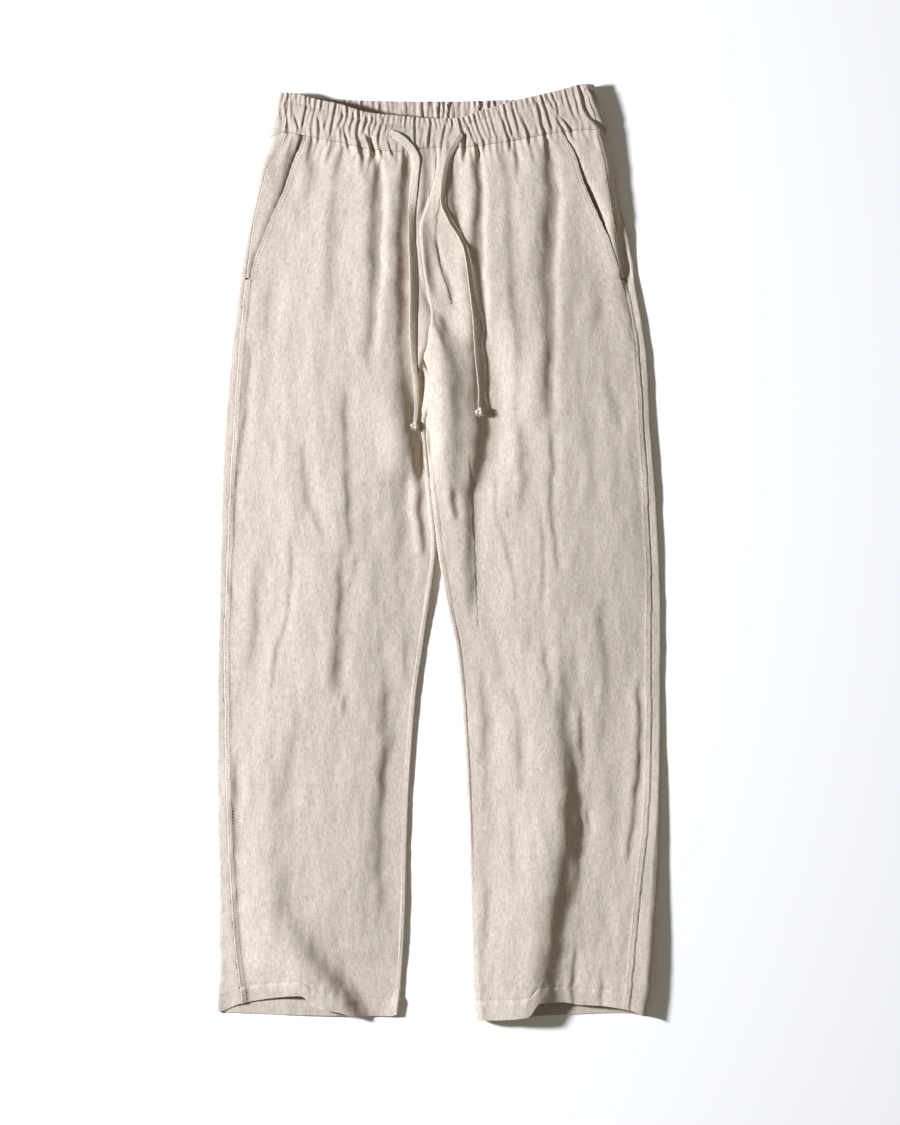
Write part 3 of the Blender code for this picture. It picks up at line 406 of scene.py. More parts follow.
RISE_CREASES = read_creases([
    (7, 8, (-16, 455, 3, 0), (-15, 435, 5, 3.2), (-15, 405, 5, 3.4), (-16, 385, 4.5, 2.4),
     (-17, 366, 4, 0)),
    (3, 3, (-4, 448, 1.4, 1.2), (-3, 430, 1.4, 1.4), (-3, 405, 1.2, 0)),
    (14, 26, (-4, 270, 4, 0), (2, 256, 5, 5), (8, 240, 8, 8.6), (13, 222, 11, 11.4),
     (16, 195, 13, 12.8), (18, 160, 13, 12), (18, 125, 12, 10), (17, 100, 10, 7), (17, 70, 8, 3.5),
     (17, 40, 7, 0)),
    (2, 10, (-17.5, 215, 1.5, 0), (-20, 208, 1.8, 3.6), (-21.5, 198, 2.1, 6.8),
     (-21.5, 182, 2.3, 7.6), (-20.8, 170, 2.2, 5.6), (-20.2, 160, 2, 2.4), (-19, 151, 1.6, 0)),
    (3, 12, (-17, 376, 5, 0), (-16, 355, 6.5, 4), (-14, 325, 6.5, 4.4), (-10, 295, 5.5, 3.6),
     (-5, 276, 5, 0)),
    (4, 5, (-12, 282, 2, 0), (-9, 268, 2.4, 1.8), (-5, 252, 2.4, 2), (1, 240, 2.6, 1.8),
     (6, 226, 2.6, 1.2), (10, 208, 2.6, 0)),
    (8, 3, (-7, 352, 2, 0), (-5.4, 343, 2, 1.2), (0.9, 318, 2.4, 1.8), (9.4, 297, 2.6, 2.2),
     (12.9, 283, 2.4, 2.2), (12, 272, 2, 0)),
])

# Pleats of the front waistband, read as short creases; those that run on below the seam go lower.
BAND_PLEATS = read_creases([
    (3, 2.2, (-171, 506, 1.2, 1.4), (-174, 490, 1.5, 2), (-174, 480, 1.5, 2),
     (-173, 470, 1.5, 1.8), (-174, 460, 1.3, 0.8)),
    (3.2, 2.4, (-165, 506, 1.2, 1.2), (-169, 490, 1.5, 2), (-168, 480, 1.5, 2.2),
     (-167.5, 470, 1.5, 2.2), (-168, 459, 1.4, 1.2)),
    (3, 2.4, (-158, 504, 1.2, 0.9), (-162, 490, 1.3, 1), (-162, 480, 1.3, 0.9),
     (-163, 464, 1.3, 0)),
    (3.4, 2.4, (-160, 486, 1.2, 0), (-158, 475, 1.5, 1.7), (-155.5, 465, 1.6, 2),
     (-157, 456, 1.5, 0.6)),
    (3.4, 2.4, (-146, 503, 1.2, 1.4), (-146, 490, 1.4, 2), (-148, 480, 1.4, 1.8),
     (-150, 470, 1.5, 1.8), (-151, 462, 1.5, 1.4), (-153, 454, 1.5, 0)),
    (2.6, 2.2, (-142, 500, 1.1, 1), (-141, 487, 1.3, 1.4), (-144, 478, 1.3, 1.2),
     (-147, 466, 1.2, 0)),
    (3.4, 2.4, (-134, 500, 1.1, 1), (-137, 485, 1.4, 1.6), (-140, 472, 1.4, 1.2),
     (-142, 458, 1.2, 0)),
    (3, 2.4, (-134, 484, 1.2, 0), (-133, 472, 1.4, 1.8), (-132.5, 462, 1.5, 2),
     (-133, 452, 1.4, 1), (-134, 446, 1.4, 0)),
    (2.4, 2, (-129, 499, 1.1, 1), (-130, 490, 1.2, 1.2), (-132, 478, 1.2, 0)),
    (2.6, 2.2, (-126, 484, 1.1, 0), (-126, 470, 1.3, 1.1), (-126, 458, 1.2, 0)),
    (2.6, 2.2, (-120, 490, 1.1, 0), (-124, 473, 1.3, 1), (-128, 459, 1.2, 0)),
    (3.2, 2.4, (-112, 496, 1.1, 1), (-115, 485, 1.4, 1.8), (-117, 475, 1.4, 2),
     (-119, 465, 1.4, 1.8), (-121, 455, 1.5, 1.4), (-124, 442, 1.8, 0)),
    (3.2, 2.2, (-108, 488, 1.2, 0), (-107, 478, 1.6, 2.2), (-110, 470, 1.5, 1.8),
     (-113, 460, 1.3, 0)),
    (3.2, 2.2, (-102, 494, 1.1, 1), (-101, 482, 1.5, 2), (-103, 472, 1.5, 1.8),
     (-105, 465, 1.5, 1.8), (-103, 455, 1.6, 2.4), (-101, 447, 1.6, 2.4), (-99, 436, 1.6, 0)),
    (2.6, 2, (-109, 472, 1.2, 0), (-108, 460, 1.5, 1.7), (-108, 450, 1.5, 1.2),
     (-109, 443, 1.5, 0)),
    (3, 2.2, (-96, 490, 1.1, 0), (-95, 477, 1.5, 1.8), (-98, 466, 1.4, 1.6), (-98, 452, 1.4, 0)),
    (3.6, 2.6, (-90, 490, 1.1, 0.8), (-88, 476, 1.6, 2.2), (-90, 468, 1.6, 2),
     (-91, 460, 1.8, 2.4), (-89.5, 450, 2, 3), (-87, 440, 2.2, 3), (-85, 428, 2.2, 0)),
    (3.2, 2.2, (-81, 484, 1.2, 0.8), (-81, 474, 1.6, 2.4), (-83, 464, 1.5, 1.8),
     (-86, 455, 1.4, 0)),
    (3.2, 2.4, (-82, 462, 1.4, 0), (-79.5, 456, 1.8, 2.4), (-77, 449, 2, 2.8),
     (-73.5, 440, 2.2, 2.8), (-71, 430, 2.4, 0)),
    (2.8, 2.2, (-75, 484, 1.1, 0.8), (-74, 475, 1.4, 1.5), (-77, 465, 1.4, 1.4),
     (-76, 455, 1.5, 1.6), (-74, 446, 1.4, 0)),
    (2.8, 2.2, (-70, 482, 1.1, 0.8), (-70, 470, 1.4, 1.5), (-73, 460, 1.3, 1), (-73, 452, 1.2, 0)),
    (3, 2.4, (-63, 482, 1.1, 0.6), (-62, 474, 1.4, 1.6), (-65, 465, 1.4, 1.6),
     (-67.5, 455, 1.6, 2.4), (-66.5, 445, 1.6, 2.6), (-65, 440, 1.7, 2), (-61, 431, 1.8, 0)),
    (2.8, 2.2, (-57, 480, 1.1, 0.5), (-58, 466, 1.4, 1.3), (-61, 454, 1.3, 0)),
    (3, 2.4, (-57, 458, 1.2, 0), (-55, 446, 1.4, 1.6), (-52, 437, 1.5, 1.8), (-47, 430, 1.5, 0)),
    (2.4, 2, (-51, 453, 1.1, 0), (-50, 443, 1.2, 1), (-46, 431, 1.3, 0)),
    (2.4, 2, (-42, 479, 1, 0.6), (-43, 464, 1.1, 0)),
    (2.4, 2, (-36, 479, 1, 0.6), (-37, 466, 1.1, 0.5), (-37, 456, 1.1, 0)),
    (2.6, 2, (-27, 478, 1.1, 1), (-27, 460, 1.2, 1.5), (-27, 448, 1.2, 1.2), (-28, 440, 1.2, 0)),
    (2.4, 2, (-17, 476, 1, 0.4), (-19, 458, 1.1, 0.6), (-21, 443, 1.1, 0)),
    (3, 2.2, (-9.5, 477, 1.1, 1), (-11, 460, 1.3, 1.6), (-12, 450, 1.4, 1.8), (-13, 440, 1.4, 0)),
    (3, 2.2, (8, 477, 1.1, 1.2), (5, 462, 1.3, 1.7), (3, 449, 1.4, 1.7), (2, 438, 1.4, 0)),
    (2.4, 2.2, (14, 477, 1.1, 0.8), (13, 464, 1.2, 0.9), (9, 452, 1.2, 0)),
    (3.2, 2.4, (21, 478, 1.4, 1.8), (24, 466, 1.6, 2.4), (26, 458, 1.7, 2.6), (27, 448, 1.8, 2.6),
     (27.5, 432, 1.6, 0)),
    (3.2, 2.2, (27, 479, 1.3, 1.6), (32, 466, 1.5, 2), (37, 453, 1.6, 2.2), (41, 442, 1.8, 2.4),
     (43, 430, 2, 0)),
    (2.8, 2.2, (33, 480, 1.2, 1.4), (36, 468, 1.4, 1.8), (40, 456, 1.5, 1.8), (44, 445, 1.4, 0)),
    (3, 2.2, (38, 482, 1.2, 1.2), (42, 466, 1.5, 1.8), (47, 453, 1.6, 2), (49, 447, 1.6, 1.6),
     (47, 437, 1.5, 0)),
    (2.8, 2.2, (43, 484, 1.1, 0.8), (47, 470, 1.3, 1.1), (51, 459, 1.3, 1), (55, 446, 1.3, 0)),
    (3, 2.2, (49, 487, 1.1, 0.8), (51, 475, 1.3, 1.2), (55, 463, 1.4, 1.2), (58, 448, 1.3, 0)),
    (3, 2.2, (55, 489, 1.1, 0.8), (57, 475, 1.3, 1.3), (60, 463, 1.4, 1.2), (65, 449, 1.3, 0)),
    (2.6, 2.2, (62, 490, 1.2, 1.4), (66, 480, 1.3, 1.2), (69, 470, 1.2, 0)),
    (3.2, 2.4, (68, 483, 1.2, 0), (71, 468, 1.6, 2.2), (74, 458, 1.6, 2.2), (77.5, 448, 1.7, 2),
     (78, 436, 1.8, 0)),
    (3, 2.2, (71, 492, 1.1, 1), (73, 480, 1.4, 1.8), (76, 470, 1.5, 1.8), (79, 460, 1.5, 1.8),
     (81, 450, 1.5, 0)),
    (3.2, 2.2, (78, 495, 1.1, 1.2), (82, 480, 1.5, 2), (85, 470, 1.5, 2), (87, 460, 1.6, 2),
     (88, 448, 1.5, 0)),
    (2.8, 2.2, (84, 493, 1.1, 0.9), (88, 478, 1.3, 1.1), (92, 462, 1.2, 0)),
    (3, 2.2, (89, 486, 1.2, 0), (92, 473, 1.5, 1.7), (95.5, 463, 1.6, 2), (97.5, 453, 1.6, 1.6),
     (98, 444, 1.6, 0)),
    (2.8, 2.2, (97, 500, 1.1, 1), (101, 487, 1.3, 1.1), (104, 472, 1.3, 0)),
    (3.4, 2.4, (104, 501, 1.2, 1.4), (108, 488, 1.6, 2.2), (110, 478, 1.6, 2), (112, 468, 1.6, 2),
     (115, 460, 1.6, 2.2), (117, 453, 1.8, 2), (118, 444, 1.8, 0)),
    (3, 2.2, (111, 503, 1.2, 1.4), (115, 490, 1.5, 2), (118, 480, 1.5, 1.8), (121, 470, 1.5, 1.6),
     (124, 460, 1.4, 0)),
    (3, 2.2, (118, 504, 1.2, 1.4), (123, 491, 1.5, 1.8), (127, 482, 1.4, 0)),
    (3, 2.2, (124, 505, 1.2, 1.2), (128, 492, 1.4, 1.6), (130, 480, 1.4, 1.2), (129, 470, 1.3, 0)),
    (2.6, 2.2, (104, 476, 1.1, 0), (107, 464, 1.3, 1), (110, 452, 1.2, 0)),
    (3, 2.2, (127, 482, 1.4, 0), (131, 472, 1.6, 2.2), (136, 462, 1.7, 2.4), (139, 454, 1.5, 0)),
    (3, 2.2, (132, 480, 1.4, 0), (138, 472, 1.7, 2.4), (142, 465, 1.6, 2.2), (146, 458, 1.5, 0.8),
     (147, 450, 1.5, 0)),
    (3, 2.4, (138, 508, 1.1, 1), (142, 494, 1.3, 1.1), (146, 482, 1.4, 1.2), (151, 471, 1.3, 0)),
    (2.8, 2.2, (131, 507, 1.1, 1), (135, 496, 1.2, 0.9), (138, 484, 1.2, 0)),
    (3.2, 2.4, (146, 511, 1.1, 1), (150, 494, 1.4, 1.5), (153, 482, 1.4, 1.4), (157, 470, 1.3, 0)),
    (4.5, 3.2, (152, 513, 1.2, 1.6), (156, 500, 1.8, 2.6), (158, 490, 1.8, 2.8), (163, 480, 2, 3),
     (170, 473, 2.4, 3), (177, 466, 2.8, 2.6), (181, 452, 3, 0)),
    (3.2, 2.6, (162, 514, 1.2, 1.4), (167, 503, 1.6, 2), (171, 494, 1.7, 2), (176, 482, 1.8, 0)),
    (6, 5, (160, 466, 2, 0), (163, 452, 3, 1.6), (168, 436, 3, 0)),
])

# Where the fine pleats of the header and of the back band lie between the large ones.
HEADER_PITCH = 5.2
BACK_PLEAT_XS = [
    -164, -153, -146, -138, -131, -124, -117, -110, -105, -100, -97, -92, -86, -79, -73, -66,
    -62, -57, -52, -46, -42, -38, -33, -28, -20, -12, -8, -1, 5, 10, 16, 22, 28, 33, 38, 43, 48,
    54, 61, 68, 75, 82, 90, 98, 106, 113, 121, 128, 136, 144, 151, 158,
]

class Dip(NamedTuple):
    """A round place where the cloth stands lower, or higher where its height is above 0."""

    x: float
    y: float
    half_width: float
    half_length: float
    height: float


DIPS = [
    Dip(-187, -508, 42, 34, -6.5),       # the right front hem lies almost on the back one
    Dip(-236, -500, 12, 30, -2.0),
    Dip(-45, -505, 22, 30, 1.5),
    Dip(160, -508, 34, 24, -4.0),        # and so does the left one beside its ridge
    Dip(204, 100, 30, 130, 2.8),         # the left thigh lies nearly level
    Dip(112, 100, 36, 130, -2.2),
    Dip(222, -390, 30, 90, -1.6),        # and its lower leg falls away to the side seam
    Dip(-13.5, 184, 5, 18, -2.0),
]


def smooth_step(value: np.ndarray) -> np.ndarray:
    """0 below 0, 1 above 1 and an even curve between."""
    part = np.clip(value, 0.0, 1.0)
    return part * part * (3.0 - 2.0 * part)


def smooth_table(where: np.ndarray, knots: list[float], values: list[float]) -> np.ndarray:
    """Smooth curve through a table: cubic pieces with limited slopes, level past its ends.

    Args:
        where: Places at which the curve is wanted.
        knots: Places of the table's rows, in any order.
        values: The rows' values.

    Returns:
        The curve's value at each place.
    """
    order = np.argsort(knots)
    xs = np.asarray(knots, float)[order]
    ys = np.asarray(values, float)[order]
    step = np.diff(xs)
    slope = np.diff(ys) / step
    tangent = np.zeros(len(xs))
    for i in range(1, len(xs) - 1):
        if slope[i - 1] * slope[i] > 0.0:
            tangent[i] = 2.0 * slope[i - 1] * slope[i] / (slope[i - 1] + slope[i])
    place = np.clip(where, xs[0], xs[-1])
    cell = np.clip(np.searchsorted(xs, place) - 1, 0, len(step) - 1)
    t = (place - xs[cell]) / step[cell]
    return (ys[cell] * (2 * t**3 - 3 * t**2 + 1) + ys[cell + 1] * (3 * t**2 - 2 * t**3)
            + step[cell] * (tangent[cell] * (t**3 - 2 * t**2 + t)
                            + tangent[cell + 1] * (t**3 - t**2)))


def along_line(pairs: list[tuple[float, float]], where: np.ndarray) -> np.ndarray:
    """Second column of a table of pairs at places in its first."""
    return smooth_table(where, [pair[0] for pair in pairs], [pair[1] for pair in pairs])


def soft_noise(shape: tuple[int, int], reach: tuple[float, float], seed: int) -> np.ndarray:
    """Seeded smooth noise of unit spread on a grid.

    Args:
        shape: Rows and columns of the grid.
        reach: Size of its waves down the rows and across the columns, in cells.
        seed: Number that fixes it.

    Returns:
        The noise, one value a cell.
    """
    white = np.random.default_rng(seed).standard_normal(shape)
    down = np.fft.fftfreq(shape[0])[:, None] * reach[0]
    over = np.fft.rfftfreq(shape[1])[None, :] * reach[1]
    pass_band = np.exp(-2.0 * (down**2 + over**2)) - np.exp(-14.0 * (down**2 + over**2))
    made = np.fft.irfft2(np.fft.rfft2(white) * pass_band, s=shape)
    return made / made.std()


def hump(place: np.ndarray, centre: float, reach: float | np.ndarray) -> np.ndarray:
    """A round bump, 1 high at its centre, that dies away over its reach."""
    return np.exp(-((place - centre) / reach) ** 2)


def unit(vectors: np.ndarray) -> np.ndarray:
    """Vectors of one unit's length, the same way."""
    return vectors / np.linalg.norm(vectors, axis=-1, keepdims=True)


def run_along(points: np.ndarray) -> np.ndarray:
    """Distance along a line of points at each of them."""
    steps = np.linalg.norm(np.diff(points, axis=0), axis=1)
    return np.concatenate([[0.0], np.cumsum(steps)])


def points_at(points: np.ndarray, run: np.ndarray, where: np.ndarray | float) -> np.ndarray:
    """Points of a line at distances along it, held at its ends.

    Args:
        points: The line's points, one a row.
        run: Distance along the line at each of them.
        where: The distances that are wanted.

    Returns:
        One point for each.
    """
    return np.stack([np.interp(where, run, column) for column in points.T], axis=-1)


class Relief:
    """Heights of the creases over a plan of the trousers, sampled between its cells."""

    CELL = 0.8
    LOW = (-256.0, -528.0)
    HIGH = (256.0, 526.0)

    def __init__(self) -> None:
        """Start level."""
        self.xs = np.arange(self.LOW[0], self.HIGH[0], self.CELL)
        self.ys = np.arange(self.LOW[1], self.HIGH[1], self.CELL)
        self.height = np.zeros((len(self.ys), len(self.xs)))

    def add_crease(self, crease: Crease, wander: float, seed: int) -> None:
        """Lay one crease into the plan.

        Args:
            crease: The crease.
            wander: How far its line strays, in millimetres.
            seed: Number that fixes its unevenness.
        """
        points = np.array(crease.points, float)[::-1]
        rows = np.nonzero((self.ys >= points[0, 1]) & (self.ys <= points[-1, 1]))[0]
        if len(rows) < 3:
            return
        ys = self.ys[rows]
        line, width, drop = (smooth_table(ys, points[:, 1], points[:, k]) for k in (0, 2, 3))
        rng = np.random.default_rng(seed)
        phase = rng.uniform(0.0, 2.0 * math.pi, 4)
        line = line + wander * (np.sin(ys / 9.0 + phase[0]) + 0.6 * np.sin(ys / 4.3 + phase[1]))
        uneven = min(1.0, MOST_UNEVEN / max(float(np.abs(drop).max()), 0.1))
        drop = drop * (1.0 + uneven * (0.16 * np.sin(ys / 13.0 + phase[2])
                                       + 0.1 * np.sin(ys / 5.1 + phase[3])))
        lean = 1.0 / np.sqrt(1.0 + np.gradient(line, ys) ** 2)
        reach = width.max() + TAILS_FELT * max(crease.before, crease.after)
        columns = np.nonzero((self.xs > line.min() - reach) & (self.xs < line.max() + reach))[0]
        across = (self.xs[columns][None, :] - line[:, None]) * lean[:, None]
        fall = -0.5 * np.tanh(STEEPNESS * across / width[:, None])
        tail = np.where(across < 0.0, crease.before, crease.after)
        past = np.maximum(np.abs(across) - width[:, None], 0.0)
        patch = drop[:, None] * fall * hump(past, 0.0, tail)
        self.height[np.ix_(rows, columns)] += patch

    def add_dip(self, dip: Dip) -> None:
        """Lay one soft round dip into the plan."""
        over = (self.xs[None, :] - dip.x) / dip.half_width
        down = (self.ys[:, None] - dip.y) / dip.half_length
        self.height += dip.height * np.exp(-(over**2 + down**2))

    def add_creases(self, creases: list[Crease], wander: float, seed: int) -> None:
        """Lay a list of creases into the plan."""
        for number, crease in enumerate(creases):
            self.add_crease(crease, wander, seed + number)

    def waves(self, long: float, wide: float, seed: int) -> np.ndarray:
        """Seeded smooth noise over the plan, with waves of a length and width in millimetres."""
        return soft_noise(self.height.shape, (long / self.CELL, wide / self.CELL), seed)

    def at(self, x: np.ndarray, y: np.ndarray) -> np.ndarray:
        """Height of the plan at places given in millimetres."""
        u = np.clip((x - self.LOW[0]) / self.CELL, 0.0, len(self.xs) - 1.001)
        v = np.clip((y - self.LOW[1]) / self.CELL, 0.0, len(self.ys) - 1.001)
        i, j = v.astype(int), u.astype(int)
        fu, fv = u - j, v - i
        h = self.height
        return ((h[i, j] * (1 - fu) + h[i, j + 1] * fu) * (1 - fv)
                + (h[i + 1, j] * (1 - fu) + h[i + 1, j + 1] * fu) * fv)


class FrontRelief(Relief):
    """Creases of the cloth that faces up: fronts, fly, facings and the front of the waistband."""

    def __init__(self) -> None:
        """Lay in the listed creases, then the small ones between them."""
        super().__init__()
        self.add_creases(RIGHT_LEG_CREASES, 0.7, 100)
        self.add_creases(LEFT_LEG_CREASES, 0.7, 200)
        self.add_creases(RISE_CREASES, 0.2, 300)
        self.add_creases(STRIP_WRINKLES, 0.3, 350)
        for dip in DIPS:
            self.add_dip(dip)
        sharper = [pleat.reshaped(PLEAT_NARROW, PLEAT_DEEP) for pleat in BAND_PLEATS]
        self.add_creases(sharper, 0.15, 400)
        self.add_header()
        self.add_gathers()
        self.add_crumple()

    def add_header(self) -> None:
        """Fine pleats of the narrow header above the elastic."""
        rng = np.random.default_rng(7)
        x = -172.0
        while x < 166.0:
            top = float(along_line(FRONT_TOP_EDGE, np.array(x))) + 1.5
            lean = -1.5 if x < -20.0 else 3.0
            drop = rng.uniform(0.7, 1.5)
            points = ((x, top, 0.8, drop), (x + lean * 0.6, top - 7.0, 0.9, drop),
                      (x + lean, top - 17.0, 1.0, 0.0))
            self.add_crease(Crease(points, 1.8, 1.5), 0.1, int(rng.integers(9999)))
            x += HEADER_PITCH * rng.uniform(0.6, 1.3)

    def add_gathers(self) -> None:
        """Small gathers that run down from the waistband seam and die away."""
        rng = np.random.default_rng(11)
        x = -166.0
        while x < 172.0:
            top = float(along_line(FRONT_WAIST_SEAM, np.array(x)))
            length = rng.uniform(14.0, 46.0)
            drift = 0.05 * x + rng.uniform(-2.0, 2.0)
            drop = rng.uniform(0.6, 2.0)
            points = ((x, top + 14.0, 1.0, 0.0), (x, top + 4.0, 1.2, 0.8 * drop),
                      (x, top - 2.0, 1.5, drop),
                      (x + drift * 0.5, top - length * 0.5, 2.2, drop * 0.7),
                      (x + drift, top - length, 3.0, 0.0))
            self.add_crease(Crease(points, 3.5, 3.0), 0.2, int(rng.integers(9999)))
            x += rng.uniform(4.0, 9.0)

    def add_crumple(self) -> None:
        """Soft waves, small crumples and a fine cockle over the whole cloth."""
        band = smooth_step((self.ys - 452.0) / 12.0)[:, None]
        wave, crumple = self.waves(70.0, 26.0, 21), self.waves(26.0, 11.0, 22)
        ridge = 1.0 - np.abs(self.waves(34.0, 13.0, 23))
        cockle = self.waves(7.0, 4.2, 24)
        self.height += (0.30 * wave + 0.12 * crumple + 0.09 * ridge) * (1.0 - 0.8 * band)
        self.height += 0.045 * cockle


class BackRelief(Relief):
    """Creases of the cloth that lies on the surface: low arches between patches that touch it."""

    def __init__(self) -> None:
        """Lay in long soft creases like the fronts', the waistband's pleats and crumples."""
        super().__init__()
        for number, crease in enumerate(RIGHT_LEG_CREASES[2:] + LEFT_LEG_CREASES[3:]):
            shift = 9.0 * math.sin(1.7 * number)
            self.add_crease(crease.reshaped(1.2, 0.5, shift, -14.0), 0.8, 500 + number)
        rng = np.random.default_rng(31)
        for x in BACK_PLEAT_XS:
            drop = rng.uniform(1.3, 2.8)
            drift = rng.uniform(-2.0, 3.0)
            points = ((x, 520.0, 1.3, drop), (x + drift * 0.5, 485.0, 1.5, drop),
                      (x + drift, 455.0, 1.8, drop), (x + drift * 1.5, 425.0, 3.0, 0.0))
            self.add_crease(Crease(points, 3.4, 2.4), 0.5, int(rng.integers(9999)))
        self.height += 0.30 * self.waves(60.0, 24.0, 32) + 0.16 * self.waves(22.0, 10.0, 33)

    def lift(self, x: np.ndarray, y: np.ndarray) -> np.ndarray:
        """How far the cloth stands off the surface: nothing where it lies, an arch elsewhere."""
        return 0.9 * np.logaddexp(0.0, self.at(x, y) / ARCH_SOFTNESS) * ARCH_SOFTNESS


class TrouserForm:
    """The sections of the legs and the waistband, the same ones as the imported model's."""

    @staticmethod
    def column_at(rows: list[LegRow] | list[HeightRow], column: str, along: float) -> float:
        """One column of a table of rows at a place along the leg."""
        return smooth_table(along, [r.along for r in rows], [getattr(r, column) for r in rows])

    def leg(self, side: Side, column: str, along: float) -> float:
        """One column of a leg's sections at a place along it."""
        return self.column_at(LEG_ROWS[side], column, along)

    def height(self, side: Side, column: str, along: float) -> float:
        """One column of a leg's heights at a place along it."""
        return self.column_at(HEIGHT_ROWS[side], column, along)

    def roll(self, along: float) -> float:
        """Angle at which a front ends: level at the fly, upright at the inseam."""
        return math.pi / 2.0 * float(smooth_step((along - CROTCH_ALONG) / CROTCH_ROLL))

    def front_height(self, side: Side, x: np.ndarray, along: float) -> np.ndarray:
        """Height of a front over the flat part of its section, before its creases."""
        sign = side.value
        outer_fold = self.height(side, "outer_fold", along)
        inner_fold = self.height(side, "inner_fold", along)
        start = self.leg(side, "outer", along) - sign * outer_fold / 2.0
        end = self.leg(side, "inner", along) + sign * inner_fold / 2.0 * math.cos(self.roll(along))
        part = np.clip((x - start) / (end - start), 0.0, 1.0)
        level = outer_fold + (inner_fold - outer_fold) * smooth_step(part)
        dome = smooth_step(part / DOME_REACH) * smooth_step((1.0 - part) / DOME_REACH)
        return level + dome * self.height(side, "crown", along)

    def centre_back_shift(self, along: float) -> float:
        """How far the straight centre back seam lies from the fly, above the crotch."""
        if along <= CROTCH_ALONG:
            return 0.0
        straight = np.interp(along, (CROTCH_ALONG, WAIST_SEAM_ALONG), BACK_CENTRE[::-1])
        return straight - self.leg(Side.RIGHT, "inner", along)

    def station_y(self, side: Side, x: np.ndarray, wrap: np.ndarray, along: float) -> np.ndarray:
        """Y of section points: the station, bent to the waist and hem lines near its ends.

        Args:
            side: The leg.
            x: X of the points.
            wrap: 0 on the front, 1 on the surface and between on the folds.
            along: The station.

        Returns:
            Y of each point.
        """
        waist = smooth_step(1.0 - (WAIST_SEAM_ALONG - along) / WAIST_REACH)
        hem = smooth_step(1.0 - (along - HEM_ALONG) / HEM_REACH)
        front = (along_line(FRONT_WAIST_SEAM, x) - WAIST_SEAM_ALONG) * waist
        front = front + (along_line(FRONT_HEM[side], x) - HEM_ALONG) * hem
        back = (along_line(BACK_WAIST_SEAM, x) - WAIST_SEAM_ALONG) * waist
        back = back + (along_line(BACK_HEM[side], x) - HEM_ALONG) * hem
        return along + front * (1.0 - wrap) + back * wrap

    @staticmethod
    def arc(centre: float, radius: float, start: float, end: float,
            mirror: int) -> tuple[np.ndarray, np.ndarray]:
        """Points on a round fold that stands on the surface, from one angle to another."""
        angle = np.linspace(start, end, DENSE)
        return centre + mirror * radius * np.cos(angle), radius + radius * np.sin(angle)

    def section(self, side: Side, along: float) -> tuple[np.ndarray, np.ndarray, int, int]:
        """A leg's section as two dense paths of x, y, z that start at the outer fold's edge.

        Args:
            side: The leg.
            along: The station.

        Returns:
            The front path over the top, the back path on the surface, and the index at which
            each starts to roll round the inner edge.
        """
        sign = side.value
        outer_radius = self.height(side, "outer_fold", along) / 2.0
        inner_radius = self.height(side, "inner_fold", along) / 2.0
        outer = self.leg(side, "outer", along)
        inner = self.leg(side, "inner", along) + sign * SEAM_GAP / 2.0
        roll = self.roll(along)
        outer_centre = outer - sign * outer_radius
        inner_centre = inner + sign * inner_radius * math.cos(roll)
        back_centre = inner_centre + self.centre_back_shift(along)
        paths = []
        for turn, end_centre, count, on_surface in ((1, inner_centre, 4 * DENSE, 0.0),
                                                    (-1, back_centre, DENSE, 1.0)):
            quarter = turn * math.pi / 2.0
            start_x, start_z = self.arc(outer_centre, outer_radius, 0.0, quarter, sign)
            middle = np.linspace(outer_centre, end_centre, count)
            level = self.front_height(side, middle, along) if turn > 0 else np.zeros(count)
            end_x, end_z = self.arc(end_centre, inner_radius, quarter, turn * roll, -sign)
            end_wrap = (1.0 - end_z / (2.0 * inner_radius) if along < CROTCH_ALONG
                        else np.full(DENSE, on_surface))
            wrap = np.concatenate([1.0 - start_z / (2.0 * outer_radius),
                                   np.full(count - 2, on_surface), end_wrap])
            x = np.concatenate([start_x, middle[1:-1], end_x])
            z = np.concatenate([start_z, level[1:-1], end_z])
            paths.append(np.stack([x, self.station_y(side, x, wrap, along), z], axis=1))
        return paths[0], paths[1], 5 * DENSE - 2, 2 * DENSE - 2

    @staticmethod
    def lengths(path: np.ndarray) -> np.ndarray:
        """Distance along a path at each of its points, in the plane of the section."""
        steps = np.hypot(np.diff(path[:, 0]), np.diff(path[:, 2]))
        return np.concatenate([[0.0], np.cumsum(steps)])

    def place_of(self, path: np.ndarray, x: float, sign: int) -> float:
        """Distance along a path at which it reaches a given X."""
        ahead = (path[:, 0] - x) * -sign
        return self.lengths(path)[int(np.argmax(ahead >= 0.0))]

    def sample(self, path: np.ndarray, marks: tuple[float, ...], cells: tuple[int, ...],
               turn: int) -> np.ndarray:
        """Points on a path with normals: each stretch between two marks cut into its cells.

        Args:
            path: Dense points of x, y, z.
            marks: Distances along the path.
            cells: Cells in each stretch between two marks.
            turn: 1 where the outer side lies left of the path's run, -1 where it lies right.

        Returns:
            Rows of x, y, z, the normal's x and z, and the distance along the path.
        """
        run = self.lengths(path)
        places: list[float] = []
        for start, end, count in zip(marks[:-1], marks[1:], cells):
            places.extend(np.linspace(start, end, count + 1)[1 if places else 0:])
        spots = np.array(places)
        lean = (points_at(path, run, spots + TANGENT_REACH)
                - points_at(path, run, spots - TANGENT_REACH))
        size = np.hypot(lean[:, 0], lean[:, 2])
        normal = np.stack([-lean[:, 2] * turn / size, lean[:, 0] * turn / size], axis=1)
        return np.concatenate([points_at(path, run, spots), normal, spots[:, None]], axis=1)

    @staticmethod
    def band_end(column: str, rise: float) -> float:
        """One column of the waistband's ends at a given rise."""
        return float(np.interp(rise, [r.rise for r in BAND_ROWS],
                               [getattr(r, column) for r in BAND_ROWS]))

